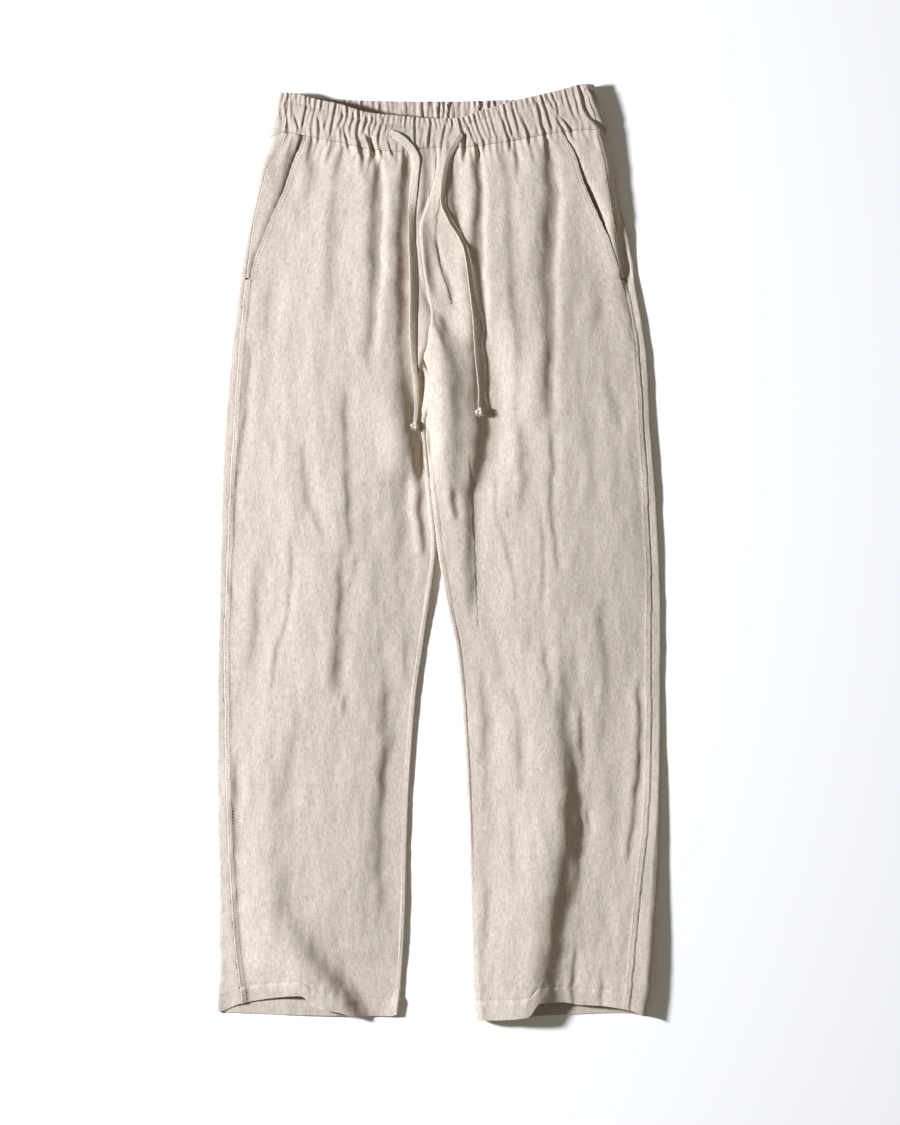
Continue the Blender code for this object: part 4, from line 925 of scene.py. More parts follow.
    def band_seams(self, top: np.ndarray, rise: float) -> list[float]:
        """Distances along the band's upper path of its right and left side seams."""
        return [self.place_of(top, self.band_end(column, rise), -1)
                for column in ("right_seam", "left_seam")]

    def band_section(self, rise: float) -> tuple[np.ndarray, np.ndarray]:
        """The waistband's section as two dense paths from its right fold to its left one."""
        radius = self.height(Side.RIGHT, "outer_fold", WAIST_SEAM_ALONG) / 2.0
        right = self.band_end("right_fold", rise) + radius
        left = self.band_end("left_fold", rise) - radius
        ends_up, ends_down = (
            (self.arc(right, radius, 0.0, quarter, -1), self.arc(left, radius, quarter, 0.0, 1))
            for quarter in (math.pi / 2.0, -math.pi / 2.0))
        middle = np.linspace(right, left, 8 * DENSE)[1:-1]
        centre = self.leg(Side.RIGHT, "inner", WAIST_SEAM_ALONG)
        top = np.where(middle < centre, self.front_height(Side.RIGHT, middle, WAIST_SEAM_ALONG),
                       self.front_height(Side.LEFT, middle, WAIST_SEAM_ALONG))
        paths = []
        for ends, z, on_surface in ((ends_up, top, 0.0), (ends_down, np.zeros_like(middle), 1.0)):
            (start_x, start_z), (end_x, end_z) = ends
            x = np.concatenate([start_x, middle, end_x])
            level = np.full(len(middle), on_surface)
            wrap = np.concatenate([1.0 - start_z / (2.0 * radius), level,
                                   1.0 - end_z / (2.0 * radius)])
            seam, edge = (along_line(front, x) * (1.0 - wrap) + along_line(back, x) * wrap
                          for front, back in ((FRONT_WAIST_SEAM, BACK_WAIST_SEAM),
                                              (FRONT_TOP_EDGE, BACK_TOP_EDGE)))
            low = seam + WAIST_GAP
            y = low + (edge - low) * rise
            paths.append(np.stack([x, y, np.concatenate([start_z, z, end_z])], axis=1))
        return paths[0], paths[1]


def linear(colour: str) -> tuple[float, float, float, float]:
    """An sRGB hex colour as linear red, green, blue and full alpha."""
    parts = [int(colour[k:k + 2], 16) / 255.0 for k in (1, 3, 5)]
    made = [p / 12.92 if p <= 0.04045 else ((p + 0.055) / 1.055) ** 2.4 for p in parts]
    return (made[0], made[1], made[2], 1.0)


def add_node(tree: bpy.types.NodeTree, kind: str, settings: dict | None = None,
             inputs: dict | None = None) -> bpy.types.Node:
    """Add a node to a tree.

    Args:
        tree: Shader or geometry tree.
        kind: The node's type name.
        settings: The node's own properties.
        inputs: Input sockets by name or number, each given a value or a socket to link from.

    Returns:
        The node.
    """
    node = tree.nodes.new(kind)
    for name, value in (settings or {}).items():
        setattr(node, name, value)
    for key, value in (inputs or {}).items():
        socket = node.inputs[key]
        if isinstance(value, bpy.types.NodeSocket):
            tree.links.new(value, socket)
        else:
            socket.default_value = value
    return node


def new_material(name: str, values: dict[str, object]) -> bpy.types.Material:
    """Start a material, with values on its Principled shader's own sockets.

    Args:
        name: What the finish is.
        values: The shader's sockets by name.

    Returns:
        The material.
    """
    material = bpy.data.materials.new(name)
    material.use_nodes = True
    shader = material.node_tree.nodes["Principled BSDF"]
    for socket, value in values.items():
        shader.inputs[socket].default_value = value
    return material


def set_stops(ramp: bpy.types.Node, stops: tuple[tuple[float, str], ...]) -> None:
    """Give a colour ramp its stops, each a position and an sRGB hex colour."""
    held = ramp.color_ramp.elements
    for number, (position, colour) in enumerate(stops):
        stop = held[number] if number < len(held) else held.new(position)
        stop.position = position
        stop.color = linear(colour)


def lead_to_shader(tree: bpy.types.NodeTree, sockets: dict[str, bpy.types.NodeSocket]) -> None:
    """Link outputs to the Principled shader's inputs of the given names."""
    for name, socket in sockets.items():
        tree.links.new(socket, tree.nodes["Principled BSDF"].inputs[name])


@dataclass(frozen=True)
class WovenHemp:
    """Plain-woven, washed hemp: matt, a little fuzzy, with uneven threads both ways.

    The threads are about 0.7 mm apart in the real cloth. They are drawn 1.1 to 1.2 mm wide,
    which is as fine as the render can hold. The slubs are about 17 mm long, as in hemp, and the
    clouds are the faint uneven shade that washing leaves.
    """

    name: str
    base: str = "#c3b19a"
    pale: str = "#cebea5"
    deep: str = "#b4a28a"
    fuzz: str = "#f4ece2"
    soak: float = 0.0
    thread_mm: float = 1.2
    uneven_mm: float = 6.5

    def build(self) -> bpy.types.Material:
        """Make the material.

        Returns:
            The material, which reads the piece's own map called weave, in metres.
        """
        # Light that soaks through thin cloth comes out warm and lightens its shadows.
        material = new_material(self.name, {
            "Roughness": 0.86, "IOR": FIBRE_IOR, "Specular IOR Level": 0.25,
            "Sheen Weight": 0.12, "Sheen Roughness": 0.5, "Sheen Tint": linear(self.fuzz),
            "Subsurface Weight": self.soak, "Subsurface Radius": (1.0, 0.8, 0.62),
            "Subsurface Scale": 0.004})
        tree = material.node_tree
        weave = add_node(tree, "ShaderNodeUVMap", {"uv_map": "weave"}).outputs["UV"]
        fine, coarse = 1.0 / MM / self.thread_mm, 1.0 / MM / self.uneven_mm
        # Weft, warp, slubs and clouds: waves a metre across and along, detail and share.
        layers = ((coarse, fine, 1.0, 0.38), (fine, coarse, 1.0, 0.62), (650.0, 60.0, 1.0, 0.4),
                  (34.0, 12.0, 3.0, 0.09))
        sums: list[bpy.types.NodeSocket | float] = [0.0]
        for across, along, detail, share in layers:
            placed = add_node(tree, "ShaderNodeMapping", {},
                              {"Vector": weave, "Scale": (across, along, 1.0)})
            noise = add_node(tree, "ShaderNodeTexNoise", {"noise_dimensions": "2D"},
                             {"Vector": placed.outputs["Vector"], "Scale": 1.0, "Detail": detail})
            added = add_node(tree, "ShaderNodeMath", {"operation": "MULTIPLY_ADD"},
                             {0: noise.outputs["Fac"], 1: share, 2: sums[-1]})
            sums.append(added.outputs[0])
        shade = add_node(tree, "ShaderNodeMath", {"operation": "MULTIPLY_ADD"},
                         {0: sums[-1], 1: 0.95, 2: 0.11})
        ramp = add_node(tree, "ShaderNodeValToRGB", {}, {"Fac": shade.outputs[0]})
        set_stops(ramp, ((0.6, self.deep), (0.8, self.base), (1.0, self.pale)))
        bump = add_node(tree, "ShaderNodeBump", {},
                        {"Strength": 0.35, "Distance": 0.4 * MM, "Height": sums[2]})
        lead_to_shader(tree, {"Base Color": ramp.outputs["Color"],
                              "Normal": bump.outputs["Normal"]})
        return material


@dataclass(frozen=True)
class SewingThread:
    """Spun polyester-cotton sewing thread: a smooth, tight twist, a little glossier than hemp."""

    name: str = "spun_sewing_thread"
    base: str = "#cebca4"
    deep: str = "#b19e86"

    def build(self) -> bpy.types.Material:
        """Make the material, whose ply marks are drawn 0.5 mm apart."""
        material = new_material(self.name, {"Roughness": 0.7, "IOR": FIBRE_IOR})
        tree = material.node_tree
        place = add_node(tree, "ShaderNodeTexCoord").outputs["Object"]
        ply = add_node(tree, "ShaderNodeTexNoise", {"noise_dimensions": "3D"},
                       {"Vector": place, "Scale": 1.0 / (0.5 * MM), "Detail": 1.0}).outputs["Fac"]
        ramp = add_node(tree, "ShaderNodeValToRGB", {}, {"Fac": ply})
        set_stops(ramp, ((0.3, self.deep), (0.7, self.base)))
        bump = add_node(tree, "ShaderNodeBump", {},
                        {"Strength": 0.3, "Distance": 0.1 * MM, "Height": ply})
        lead_to_shader(tree, {"Base Color": ramp.outputs["Color"],
                              "Normal": bump.outputs["Normal"]})
        return material


@dataclass(frozen=True)
class StudioPaper:
    """Seamless backdrop paper: matt and pale, with a faint even grain."""

    name: str = "seamless_paper"
    base: str = "#fff8ea"
    deep: str = "#fdf6e8"

    def build(self) -> bpy.types.Material:
        """Make the material, with a grain of about 4 mm."""
        material = new_material(self.name, {"Roughness": 0.95, "Specular IOR Level": 0.1})
        tree = material.node_tree
        place = add_node(tree, "ShaderNodeTexCoord").outputs["Object"]
        grain = add_node(tree, "ShaderNodeTexNoise", {},
                         {"Vector": place, "Scale": 1.0 / (4.0 * MM)}).outputs["Fac"]
        ramp = add_node(tree, "ShaderNodeValToRGB", {}, {"Fac": grain})
        set_stops(ramp, ((0.0, self.deep), (1.0, self.base)))
        lead_to_shader(tree, {"Base Color": ramp.outputs["Color"]})
        return material


def grid_normals(points: np.ndarray) -> np.ndarray:
    """Unit normals of a grid of points, from the run of its rows and columns."""
    down = np.gradient(points, axis=0)
    over = np.gradient(points, axis=1)
    normal = np.cross(over, down)
    size = np.linalg.norm(normal, axis=2, keepdims=True)
    return normal / np.maximum(size, 1e-12)


def add_object(name: str, data: bpy.types.ID) -> bpy.types.Object:
    """Put a mesh, lamp or camera into the scene, at the origin."""
    thing = bpy.data.objects.new(name, data)
    bpy.context.collection.objects.link(thing)
    return thing


def make_object(name: str, verts: np.ndarray, faces: list, uv: np.ndarray | None,
                material: bpy.types.Material, sharp: float = 50.0) -> bpy.types.Object:
    """Turn points and faces into an object at the origin.

    Args:
        name: The piece's name.
        verts: Points in millimetres.
        faces: Rings of point numbers.
        uv: Two numbers a point for the map called weave, in metres.
        material: Its finish.
        sharp: Angle in degrees past which an edge stays sharp.

    Returns:
        The object.
    """
    mesh = bpy.data.meshes.new(name)
    mesh.from_pydata((verts * MM).tolist(), [], faces)
    mesh.update()
    if uv is not None:
        layer = mesh.uv_layers.new(name="weave")
        index = np.empty(len(mesh.loops), np.int32)
        mesh.loops.foreach_get("vertex_index", index)
        layer.uv.foreach_set("vector", uv[index].astype(np.float32).ravel())
    mesh.shade_smooth()
    mesh.set_sharp_from_angle(angle=math.radians(sharp))
    mesh.materials.append(material)
    return add_object(name, mesh)


def shell(name: str, outer: np.ndarray, inner: np.ndarray, uv: np.ndarray,
          material: bpy.types.Material) -> bpy.types.Object:
    """Closed thin shell between two grids of points.

    Args:
        name: The piece's name.
        outer: Grid of points on the side that is seen, in millimetres.
        inner: Grid of the points behind them.
        uv: Grid of the cloth's own coordinates, in metres.
        material: Its finish.

    Returns:
        The object.
    """
    rows, columns = outer.shape[:2]
    count = rows * columns
    index = np.arange(count).reshape(rows, columns)
    ring = np.stack([index[:-1, :-1], index[1:, :-1], index[1:, 1:], index[:-1, 1:]], axis=-1)
    ring = ring.reshape(-1, 4)
    away = (outer - inner)[rows // 2, columns // 2]
    facing = grid_normals(outer)[rows // 2, columns // 2] @ away
    top = ring[:, ::-1] if facing > 0 else ring
    # The ring order above runs down, then over, which faces against the cross product used.
    base = top[:, ::-1] + count
    rim = [(0, j) for j in range(columns)] + [(i, columns - 1) for i in range(1, rows)]
    rim += [(rows - 1, j) for j in range(columns - 2, -1, -1)]
    rim += [(i, 0) for i in range(rows - 2, 0, -1)]
    edge = np.array([index[i, j] for i, j in rim])
    after = np.roll(edge, -1)
    wall = np.stack([edge, after, after + count, edge + count], axis=-1)
    if facing > 0:
        wall = wall[:, ::-1]
    verts = np.concatenate([outer.reshape(-1, 3), inner.reshape(-1, 3)])
    faces = np.concatenate([top, base, wall]).tolist()
    flat = uv.reshape(-1, 2)
    return make_object(name, verts, faces, np.concatenate([flat, flat]), material)


def skin_of(points: np.ndarray, facing: np.ndarray) -> np.ndarray:
    """Unit normals of a grid of points, each turned to the side that it faces."""
    skin = grid_normals(points)
    return skin * np.sign(np.sum(skin * facing, axis=2, keepdims=True))


def as_grid(rows: list[np.ndarray]) -> tuple[np.ndarray, np.ndarray, np.ndarray]:
    """Sampled rows as grids: points, the way each faces, and distances along the cloth."""
    made = np.array(rows)
    normal = np.zeros(made.shape[:2] + (3,))
    normal[:, :, 0], normal[:, :, 2] = made[:, :, 3], made[:, :, 4]
    return made[:, :, :3].copy(), normal, made[:, :, 5]


def creased(relief: Relief, points: np.ndarray, normal: np.ndarray) -> np.ndarray:
    """How far a plan's creases lift a grid of points: fully where it faces up, else less."""
    return relief.at(points[:, :, 0], points[:, :, 1]) * smooth_step(normal[:, :, 2] * 1.3)


def edge_roll(distance: np.ndarray, depth: float, reach: float) -> np.ndarray:
    """How far an edge turns down towards its seam, at a distance from it."""
    return depth * hump(np.maximum(distance, 0.0), 0.0, reach)


def pucker(run: np.ndarray, drop: float, wave: float, sway: float, drift: float) -> np.ndarray:
    """Small uneven waves that a line of sewing draws into the cloth along its run.

    Args:
        run: Distance along the line.
        drop: Height of the waves.
        wave: Length over which they turn by one radian.
        sway: How far they run ahead and lag, in radians.
        drift: Length over which that sways by one radian.

    Returns:
        The waves' height.
    """
    return drop * np.sin(run / wave + sway * np.sin(run / drift))


def cloth_thickness(above_hem: np.ndarray) -> np.ndarray:
    """Thickness of a leg's cloth by its distance above the hem, which is turned up double."""
    return CLOTH + HEM_FOLD * smooth_step((HEM_DEEP - above_hem) / 2.0)


def leg_stations(waist_rows: int, below_waist: float, leg_rows: int, hem_rows: int) -> np.ndarray:
    """Places along a leg of its rows, closer together near the waistband and the hem.

    Args:
        waist_rows: Rows just below the waistband.
        below_waist: Where the leg's own rows start.
        leg_rows: Rows between there and the hem.
        hem_rows: Rows in the hem.

    Returns:
        The places, from the waist down.
    """
    return np.concatenate([np.linspace(WAIST_SEAM_ALONG, 425.0, waist_rows),
                           np.linspace(below_waist, -468.0, leg_rows),
                           np.linspace(-470.0, HEM_ALONG, hem_rows)])


def inner_marks(run: np.ndarray, roll_index: int, along: float) -> tuple[float, float]:
    """Where a section starts to roll round its inner edge, and where its cloth ends."""
    trim = SEAM_GAP / 2.0 if along <= CROTCH_ALONG else 0.0
    return min(run[roll_index], run[-1] - EDGE_STRETCH), run[-1] - trim


@dataclass
class ClothPanel:
    """One cut piece of cloth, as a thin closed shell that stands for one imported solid."""

    node: str
    form: TrouserForm
    finish: bpy.types.Material
    flat: tuple[float, float]
    area: float | None = None
    held: str = "laid"
    slot: str = "hemp"
    outer: np.ndarray | None = field(default=None, repr=False)
    inner: np.ndarray | None = field(default=None, repr=False)
    piece: bpy.types.Object | None = field(default=None, repr=False)

    def finish_piece(self, outer: np.ndarray, inner: np.ndarray, over: np.ndarray,
                     along: np.ndarray) -> None:
        """Make the shell, put it under its body and hide the imported solid that it stands for.

        Args:
            outer: Grid of its seen points in millimetres.
            inner: Grid of the points behind them.
            over: Distance of each point across the cloth in millimetres.
            along: Its distance along the cloth, a point or a row.
        """
        self.outer, self.inner = outer, inner
        weave = np.stack([over, np.broadcast_to(along, over.shape)], axis=-1) * MM
        self.piece = shell(self.node + "_cloth", outer, inner, weave, self.finish)
        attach(self.piece, BODY)
        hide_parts(self.node)
        steps_over, steps_down = np.diff(outer, axis=1), np.diff(outer, axis=0)
        cells = np.linalg.norm(np.cross(steps_over[:-1], steps_down[:, :-1]), axis=2)
        wide, tall = (np.linalg.norm(steps, axis=2).sum(axis=axis).max() * MM
                      for steps, axis in ((steps_over, 1), (steps_down, 0)))
        log.info("%s: %d faces, %.4f square metres, %.3f by %.3f", self.piece.name,
                 len(self.piece.data.polygons), cells.sum() * MM * MM, wide, tall)


@dataclass
class FrontPanel(ClothPanel):
    """A front panel: from the side seam or the pocket's slash edge over the top to the inseam."""

    side: Side = Side.RIGHT
    relief: FrontRelief | None = None
    cells: tuple[int, int, int] = (7, 134, 9)
    edge_band: float = 9.0
    stations: np.ndarray | None = field(default=None, repr=False)

    def build(self) -> None:
        """Sample the sections, lay in the creases and close the shell."""
        form, side = self.form, self.side
        self.stations = leg_stations(16, 421.7, 270, 20)
        rows = []
        for along in self.stations:
            path, _, roll_index, _ = form.section(side, along)
            edge_x = (along_line(POCKET_MOUTH[side], along) if self.at_pocket(along)
                      else form.leg(side, "outseam", along))
            start = form.place_of(path, edge_x, side.value) + SEAM_GAP / 2.0
            ends = inner_marks(form.lengths(path), roll_index, along)
            marks = (start, start + self.edge_band, *ends)
            rows.append(form.sample(path, marks, self.cells, -side.value))
        point, normal, run = as_grid(rows)
        along = self.stations[:, None]
        lift = creased(self.relief, point, normal) + self.hem_lift(along - HEM_ALONG, run)
        lift = lift - edge_roll(WAIST_SEAM_ALONG - along, 0.7, 1.6)
        lift = lift + self.outer_edge_lift(along, run - run[:, :1])
        lift = lift + self.inner_edge_lift(along, run[:, -1:] - run)
        outer = point + normal * lift[:, :, None]
        spare = (outer[:, :, 2] - LOWEST_FRONT) / LOWEST_SOFTNESS
        held_up = LOWEST_FRONT + LOWEST_SOFTNESS * np.logaddexp(0.0, spare)
        level = smooth_step((normal[:, :, 2] - 0.2) / 0.6)
        outer[:, :, 2] += (held_up - outer[:, :, 2]) * level
        inner = outer - skin_of(outer, normal) * cloth_thickness(along - HEM_ALONG)[..., None]
        self.finish_piece(outer, inner, run * side.value, along)

    @staticmethod
    def at_pocket(along: np.ndarray | float) -> np.ndarray | bool:
        """Whether the panel starts at the pocket mouth there, and not at the side seam."""
        return along > POCKET_END - 1.0

    @staticmethod
    def hem_lift(above_hem: np.ndarray, run: np.ndarray) -> np.ndarray:
        """Step of the turned hem, with the groove and the pucker of its stitching."""
        past = above_hem - HEM_DEEP
        return (0.5 * smooth_step((0.6 - past) / 1.2) - 0.7 * hump(past, 0.0, 1.5)
                + pucker(run, 0.26, 1.9, 3.0, 17.0) * hump(past, 0.0, 6.0))

    def outer_edge_lift(self, along: np.ndarray, inside: np.ndarray) -> np.ndarray:
        """Lift along the outer edge: a gaping pocket mouth, or a felled and puckered side seam.

        Args:
            along: The panel's stations.
            inside: Distance of each point from that edge.

        Returns:
            The lift of each point.
        """
        gape = along_line(POCKET_GAPE[self.side], np.clip(along, POCKET_END, 460.0))
        fell = 0.45 * smooth_step(inside / 0.8) * smooth_step((8.0 - inside) / 2.0)
        seam = (fell - edge_roll(inside, 0.22, 0.8)
                + pucker(along, 0.16, 1.7, 2.0, 21.0) * hump(inside, 4.0, 5.0))
        return np.where(self.at_pocket(along), 0.25 * gape * hump(inside, 0.0, 9.0), seam)

    def inner_edge_lift(self, along: np.ndarray, inside: np.ndarray) -> np.ndarray:
        """Lift along the inner edge: the inseam's fell, and the turned edges beside the fly.

        Args:
            along: The panel's stations.
            inside: Distance of each point from that edge.

        Returns:
            The lift of each point.
        """
        above = along - CROTCH_ALONG
        below = smooth_step((-20.0 - above) / 30.0)
        fell = 0.5 * smooth_step((6.8 - inside) / 0.9) - 0.25 * hump(inside, 6.9, 0.8)
        ripple = pucker(along, 0.14, 1.8, 2.0, 19.0) * hump(inside, 5.0, 4.0)
        lift = below * (fell + ripple) - edge_roll(inside, 0.4, 1.2) * (above < 20.0)
        if self.side is Side.LEFT:
            return lift - edge_roll(inside, 1.5, 1.3) * smooth_step((above - 20.0) / 30.0)
        beside_fly = smooth_step(above / 8.0) * smooth_step((398.0 - along) / 22.0)
        return lift - edge_roll(inside, 2.4, 5.0) * beside_fly


@dataclass
class BackPanel(ClothPanel):
    """A back panel: from the side seam round the outer fold, on the surface to the inner edge."""

    side: Side = Side.RIGHT
    relief: BackRelief | None = None
    front_relief: FrontRelief | None = None
    cells: tuple[int, int, int, int] = (8, 7, 66, 8)

    def build(self) -> None:
        """Sample the sections, arch the cloth off the surface and close the shell."""
        form, side = self.form, self.side
        stations = leg_stations(13, 421.0, 190, 16)
        rows = []
        for along in stations:
            front, back, _, roll_index = form.section(side, along)
            seam_x = form.leg(side, "outseam", along)
            seam = form.place_of(front, seam_x, side.value) - SEAM_GAP / 2.0
            over = form.sample(front, (seam, 0.0), self.cells[:1], -side.value)
            over[:, 5] = -over[:, 5]
            run = form.lengths(back)
            marks = (0.0, run[DENSE - 1], *inner_marks(run, roll_index, along))
            under = form.sample(back, marks, self.cells[1:], side.value)
            rows.append(np.concatenate([over, under[1:]]))
        point, normal, run = as_grid(rows)
        top = creased(self.front_relief, point, normal) - edge_roll(run - run[:, :1], 0.12, 0.8)
        seen = np.arange(point.shape[1]) <= self.cells[0]
        outer = point + normal * (top * seen)[:, :, None]
        arch = self.relief.lift(point[:, :, 0], point[:, :, 1])
        outer[:, :, 2] += smooth_step(-normal[:, :, 2]) * arch
        along = stations[:, None]
        inner = outer - skin_of(outer, normal) * cloth_thickness(along - HEM_ALONG)[..., None]
        self.finish_piece(outer, inner, run * side.value, along)


@dataclass
class PocketFacing(ClothPanel):
    """The cloth inside a slanted pocket, from the side seam down under the front's slash edge."""

    side: Side = Side.RIGHT
    relief: FrontRelief | None = None
    cells: tuple[int, int] = (26, 6)
    rows: int = 76

    def build(self) -> None:
        """Sample the sections, sink the cloth into the gaping mouth and close the shell."""
        form, side = self.form, self.side
        stations = np.linspace(WAIST_SEAM_ALONG, POCKET_END, self.rows)
        rows, mouths = [], []
        for along in stations:
            path = form.section(side, along)[0]
            seam, mouth = (form.place_of(path, x, side.value) for x in (
                form.leg(side, "outseam", along), along_line(POCKET_MOUTH[side], along)))
            marks = (seam + SEAM_GAP / 2.0, mouth, mouth + POCKET_UNDERLAP)
            rows.append(form.sample(path, marks, self.cells, -side.value))
            mouths.append(mouth)
        point, normal, run = as_grid(rows)
        along, mouth = stations[:, None], np.array(mouths)[:, None]
        gape = along_line(POCKET_GAPE[side], along)
        reach = np.minimum(0.8 * (mouth - run[:, :1]), 6.0 + 1.7 * gape)
        near = np.clip(1.0 - (mouth - run) / np.maximum(reach, 1.0), 0.0, 1.3)
        sink = (CLOTH + SEAM_GAP + gape) * near**2.4
        lift = creased(self.relief, point, normal) - sink
        lift = lift - edge_roll(WAIST_SEAM_ALONG - along, 0.6, 1.6)
        lift = lift - edge_roll(run - run[:, :1], 0.5, 0.9)
        outer = point + normal * lift[:, :, None]
        self.finish_piece(outer, outer - skin_of(outer, normal) * CLOTH,
                          run * side.value + 0.31, along)


@dataclass
class Overlay(ClothPanel):
    """A piece sewn on top of the left front: the fly, or the inset at the inner thigh.

    Its head thins out over soft_head, which is 0 where the waistband's seam holds it.
    """

    base: FrontPanel | None = None
    first: float = 0.0
    last: float = 0.0
    inner_margin: int = 0
    rise: float = 0.9
    soft_edge: float = 2.0
    soft_head: float = 0.0
    columns: int = 30

    def build(self) -> None:
        """Take the front's own surface over the overlay's reach and lift it a little."""
        base = self.base
        keep = np.nonzero((base.stations <= self.first) & (base.stations >= self.last))[0]
        rows = []
        for i in keep:
            row = base.outer[i]
            inset = self.form.leg(Side.LEFT, "inset", base.stations[i])
            column = int(np.argmin(np.abs(row[:, 0] - inset)))
            places = np.linspace(column, len(row) - 1 - self.inner_margin, self.columns)
            rows.append(points_at(row, np.arange(len(row)), places))
        surface = np.array(rows)
        skin = grid_normals(surface)
        skin = np.where(skin[..., 2:3] < 0.0, -skin, skin)
        steps = np.linalg.norm(np.diff(surface, axis=1), axis=2)
        run = np.concatenate([np.zeros((len(rows), 1)), np.cumsum(steps, axis=1)], axis=1)
        along = base.stations[keep][:, None]
        lift = self.rise * smooth_step(run / self.soft_edge)
        lift = lift * smooth_step((along - self.last) / self.soft_edge)
        if self.soft_head:
            lift = lift * smooth_step((self.first - along) / self.soft_head)
        outer = surface + skin * (OVERLAY_FACE + lift)[..., None]
        self.finish_piece(outer, surface + skin * OVERLAY_BACK, run + 400.0, along + 3.1)


@dataclass
class FrontBand(ClothPanel):
    """The front of the gathered waistband, between its side seams."""

    relief: FrontRelief | None = None
    columns: int = 400
    rises: int = 42

    def build(self) -> None:
        """Sample the band's sections, pleat them and close the shell."""
        form, half = self.form, WAIST_GAP / 2.0
        rises = np.linspace(0.0, 1.0, self.rises)
        rows = []
        for rise in rises:
            top = form.band_section(rise)[0]
            start, end = form.band_seams(top, rise)
            rows.append(form.sample(top, (start + half, end - half), (self.columns,), 1))
        point, normal, run = as_grid(rows)
        x, rise = point[:, :, 0], rises[:, None]
        tall = along_line(FRONT_TOP_EDGE, x) - along_line(FRONT_WAIST_SEAM, x)
        from_seam, from_top = rise * tall, (1.0 - rise) * tall
        full = smooth_step(from_seam / 9.0) * smooth_step((from_top - HEADER + 2.0) / 9.0)
        lift = creased(self.relief, point, normal) + 0.9 * full
        lift = lift - edge_roll(from_seam, 0.7, 1.4) - edge_roll(from_top, 0.4, 1.0)
        lift = lift - 0.55 * hump(from_top, HEADER, 1.1)
        outer = point + normal * lift[:, :, None]
        self.finish_piece(outer, outer - skin_of(outer, normal) * BAND_THICK, run * BAND_FULLNESS,
                          from_seam + 460.0)


@dataclass
class BackBand(ClothPanel):
    """The back of the gathered waistband: round both side folds and across the surface."""

    relief: BackRelief | None = None
    front_relief: FrontRelief | None = None
    rises: int = 30
    cells: tuple[int, int, int, int] = (10, 12, 250, 12)

    def build(self) -> None:
        """Sample the band's sections, pleat them off the surface and close the shell."""
        form, half = self.form, WAIST_GAP / 2.0
        rises = np.linspace(0.0, 1.0, self.rises)
        rows = []
        for rise in rises:
            top, base = form.band_section(rise)
            run, low_run = form.lengths(top), form.lengths(base)
            start, end = form.band_seams(top, rise)
            first = form.sample(top, (start - half, 0.0), self.cells[:1], 1)
            first[:, 5] = -first[:, 5]
            marks = (0.0, low_run[DENSE - 1], low_run[-DENSE], low_run[-1])
            middle = form.sample(base, marks, self.cells[1:], -1)
            last = form.sample(top, (run[-1], end + half), self.cells[:1], 1)
            last[:, 5] = low_run[-1] + (run[-1] - last[:, 5])
            rows.append(np.concatenate([first, middle[1:-1], last]))
        point, normal, run = as_grid(rows)
        outer = point + normal * creased(self.front_relief, point, normal)[:, :, None]
        arch = 0.1 + 2.4 * self.relief.lift(point[:, :, 0], point[:, :, 1])
        outer[:, :, 2] += smooth_step(-normal[:, :, 2]) * arch
        self.finish_piece(outer, outer - skin_of(outer, normal) * BACK_BAND_THICK,
                          run * BAND_FULLNESS, rises[:, None] * 50.0 + 460.0)


class Cloth:
    """Finds the place and slope of the finished cloth under a point of the plan."""

    def __init__(self, panels: list[ClothPanel]) -> None:
        """Join the panels' meshes into one search tree."""
        verts: list[Vector] = []
        faces: list[tuple[int, ...]] = []
        for panel in panels:
            mesh = panel.piece.data
            start = len(verts)
            verts.extend(v.co.copy() for v in mesh.vertices)
            faces.extend(tuple(start + k for k in p.vertices) for p in mesh.polygons)
        self.tree = BVHTree.FromPolygons(verts, faces)

    def top(self, x: float, y: float) -> float | None:
        """Height of the uppermost cloth at a place, all in millimetres."""
        hit = self.tree.ray_cast(Vector((x * MM, y * MM, 0.2)), Vector((0.0, 0.0, -1.0)))[0]
        return None if hit is None else hit.z / MM


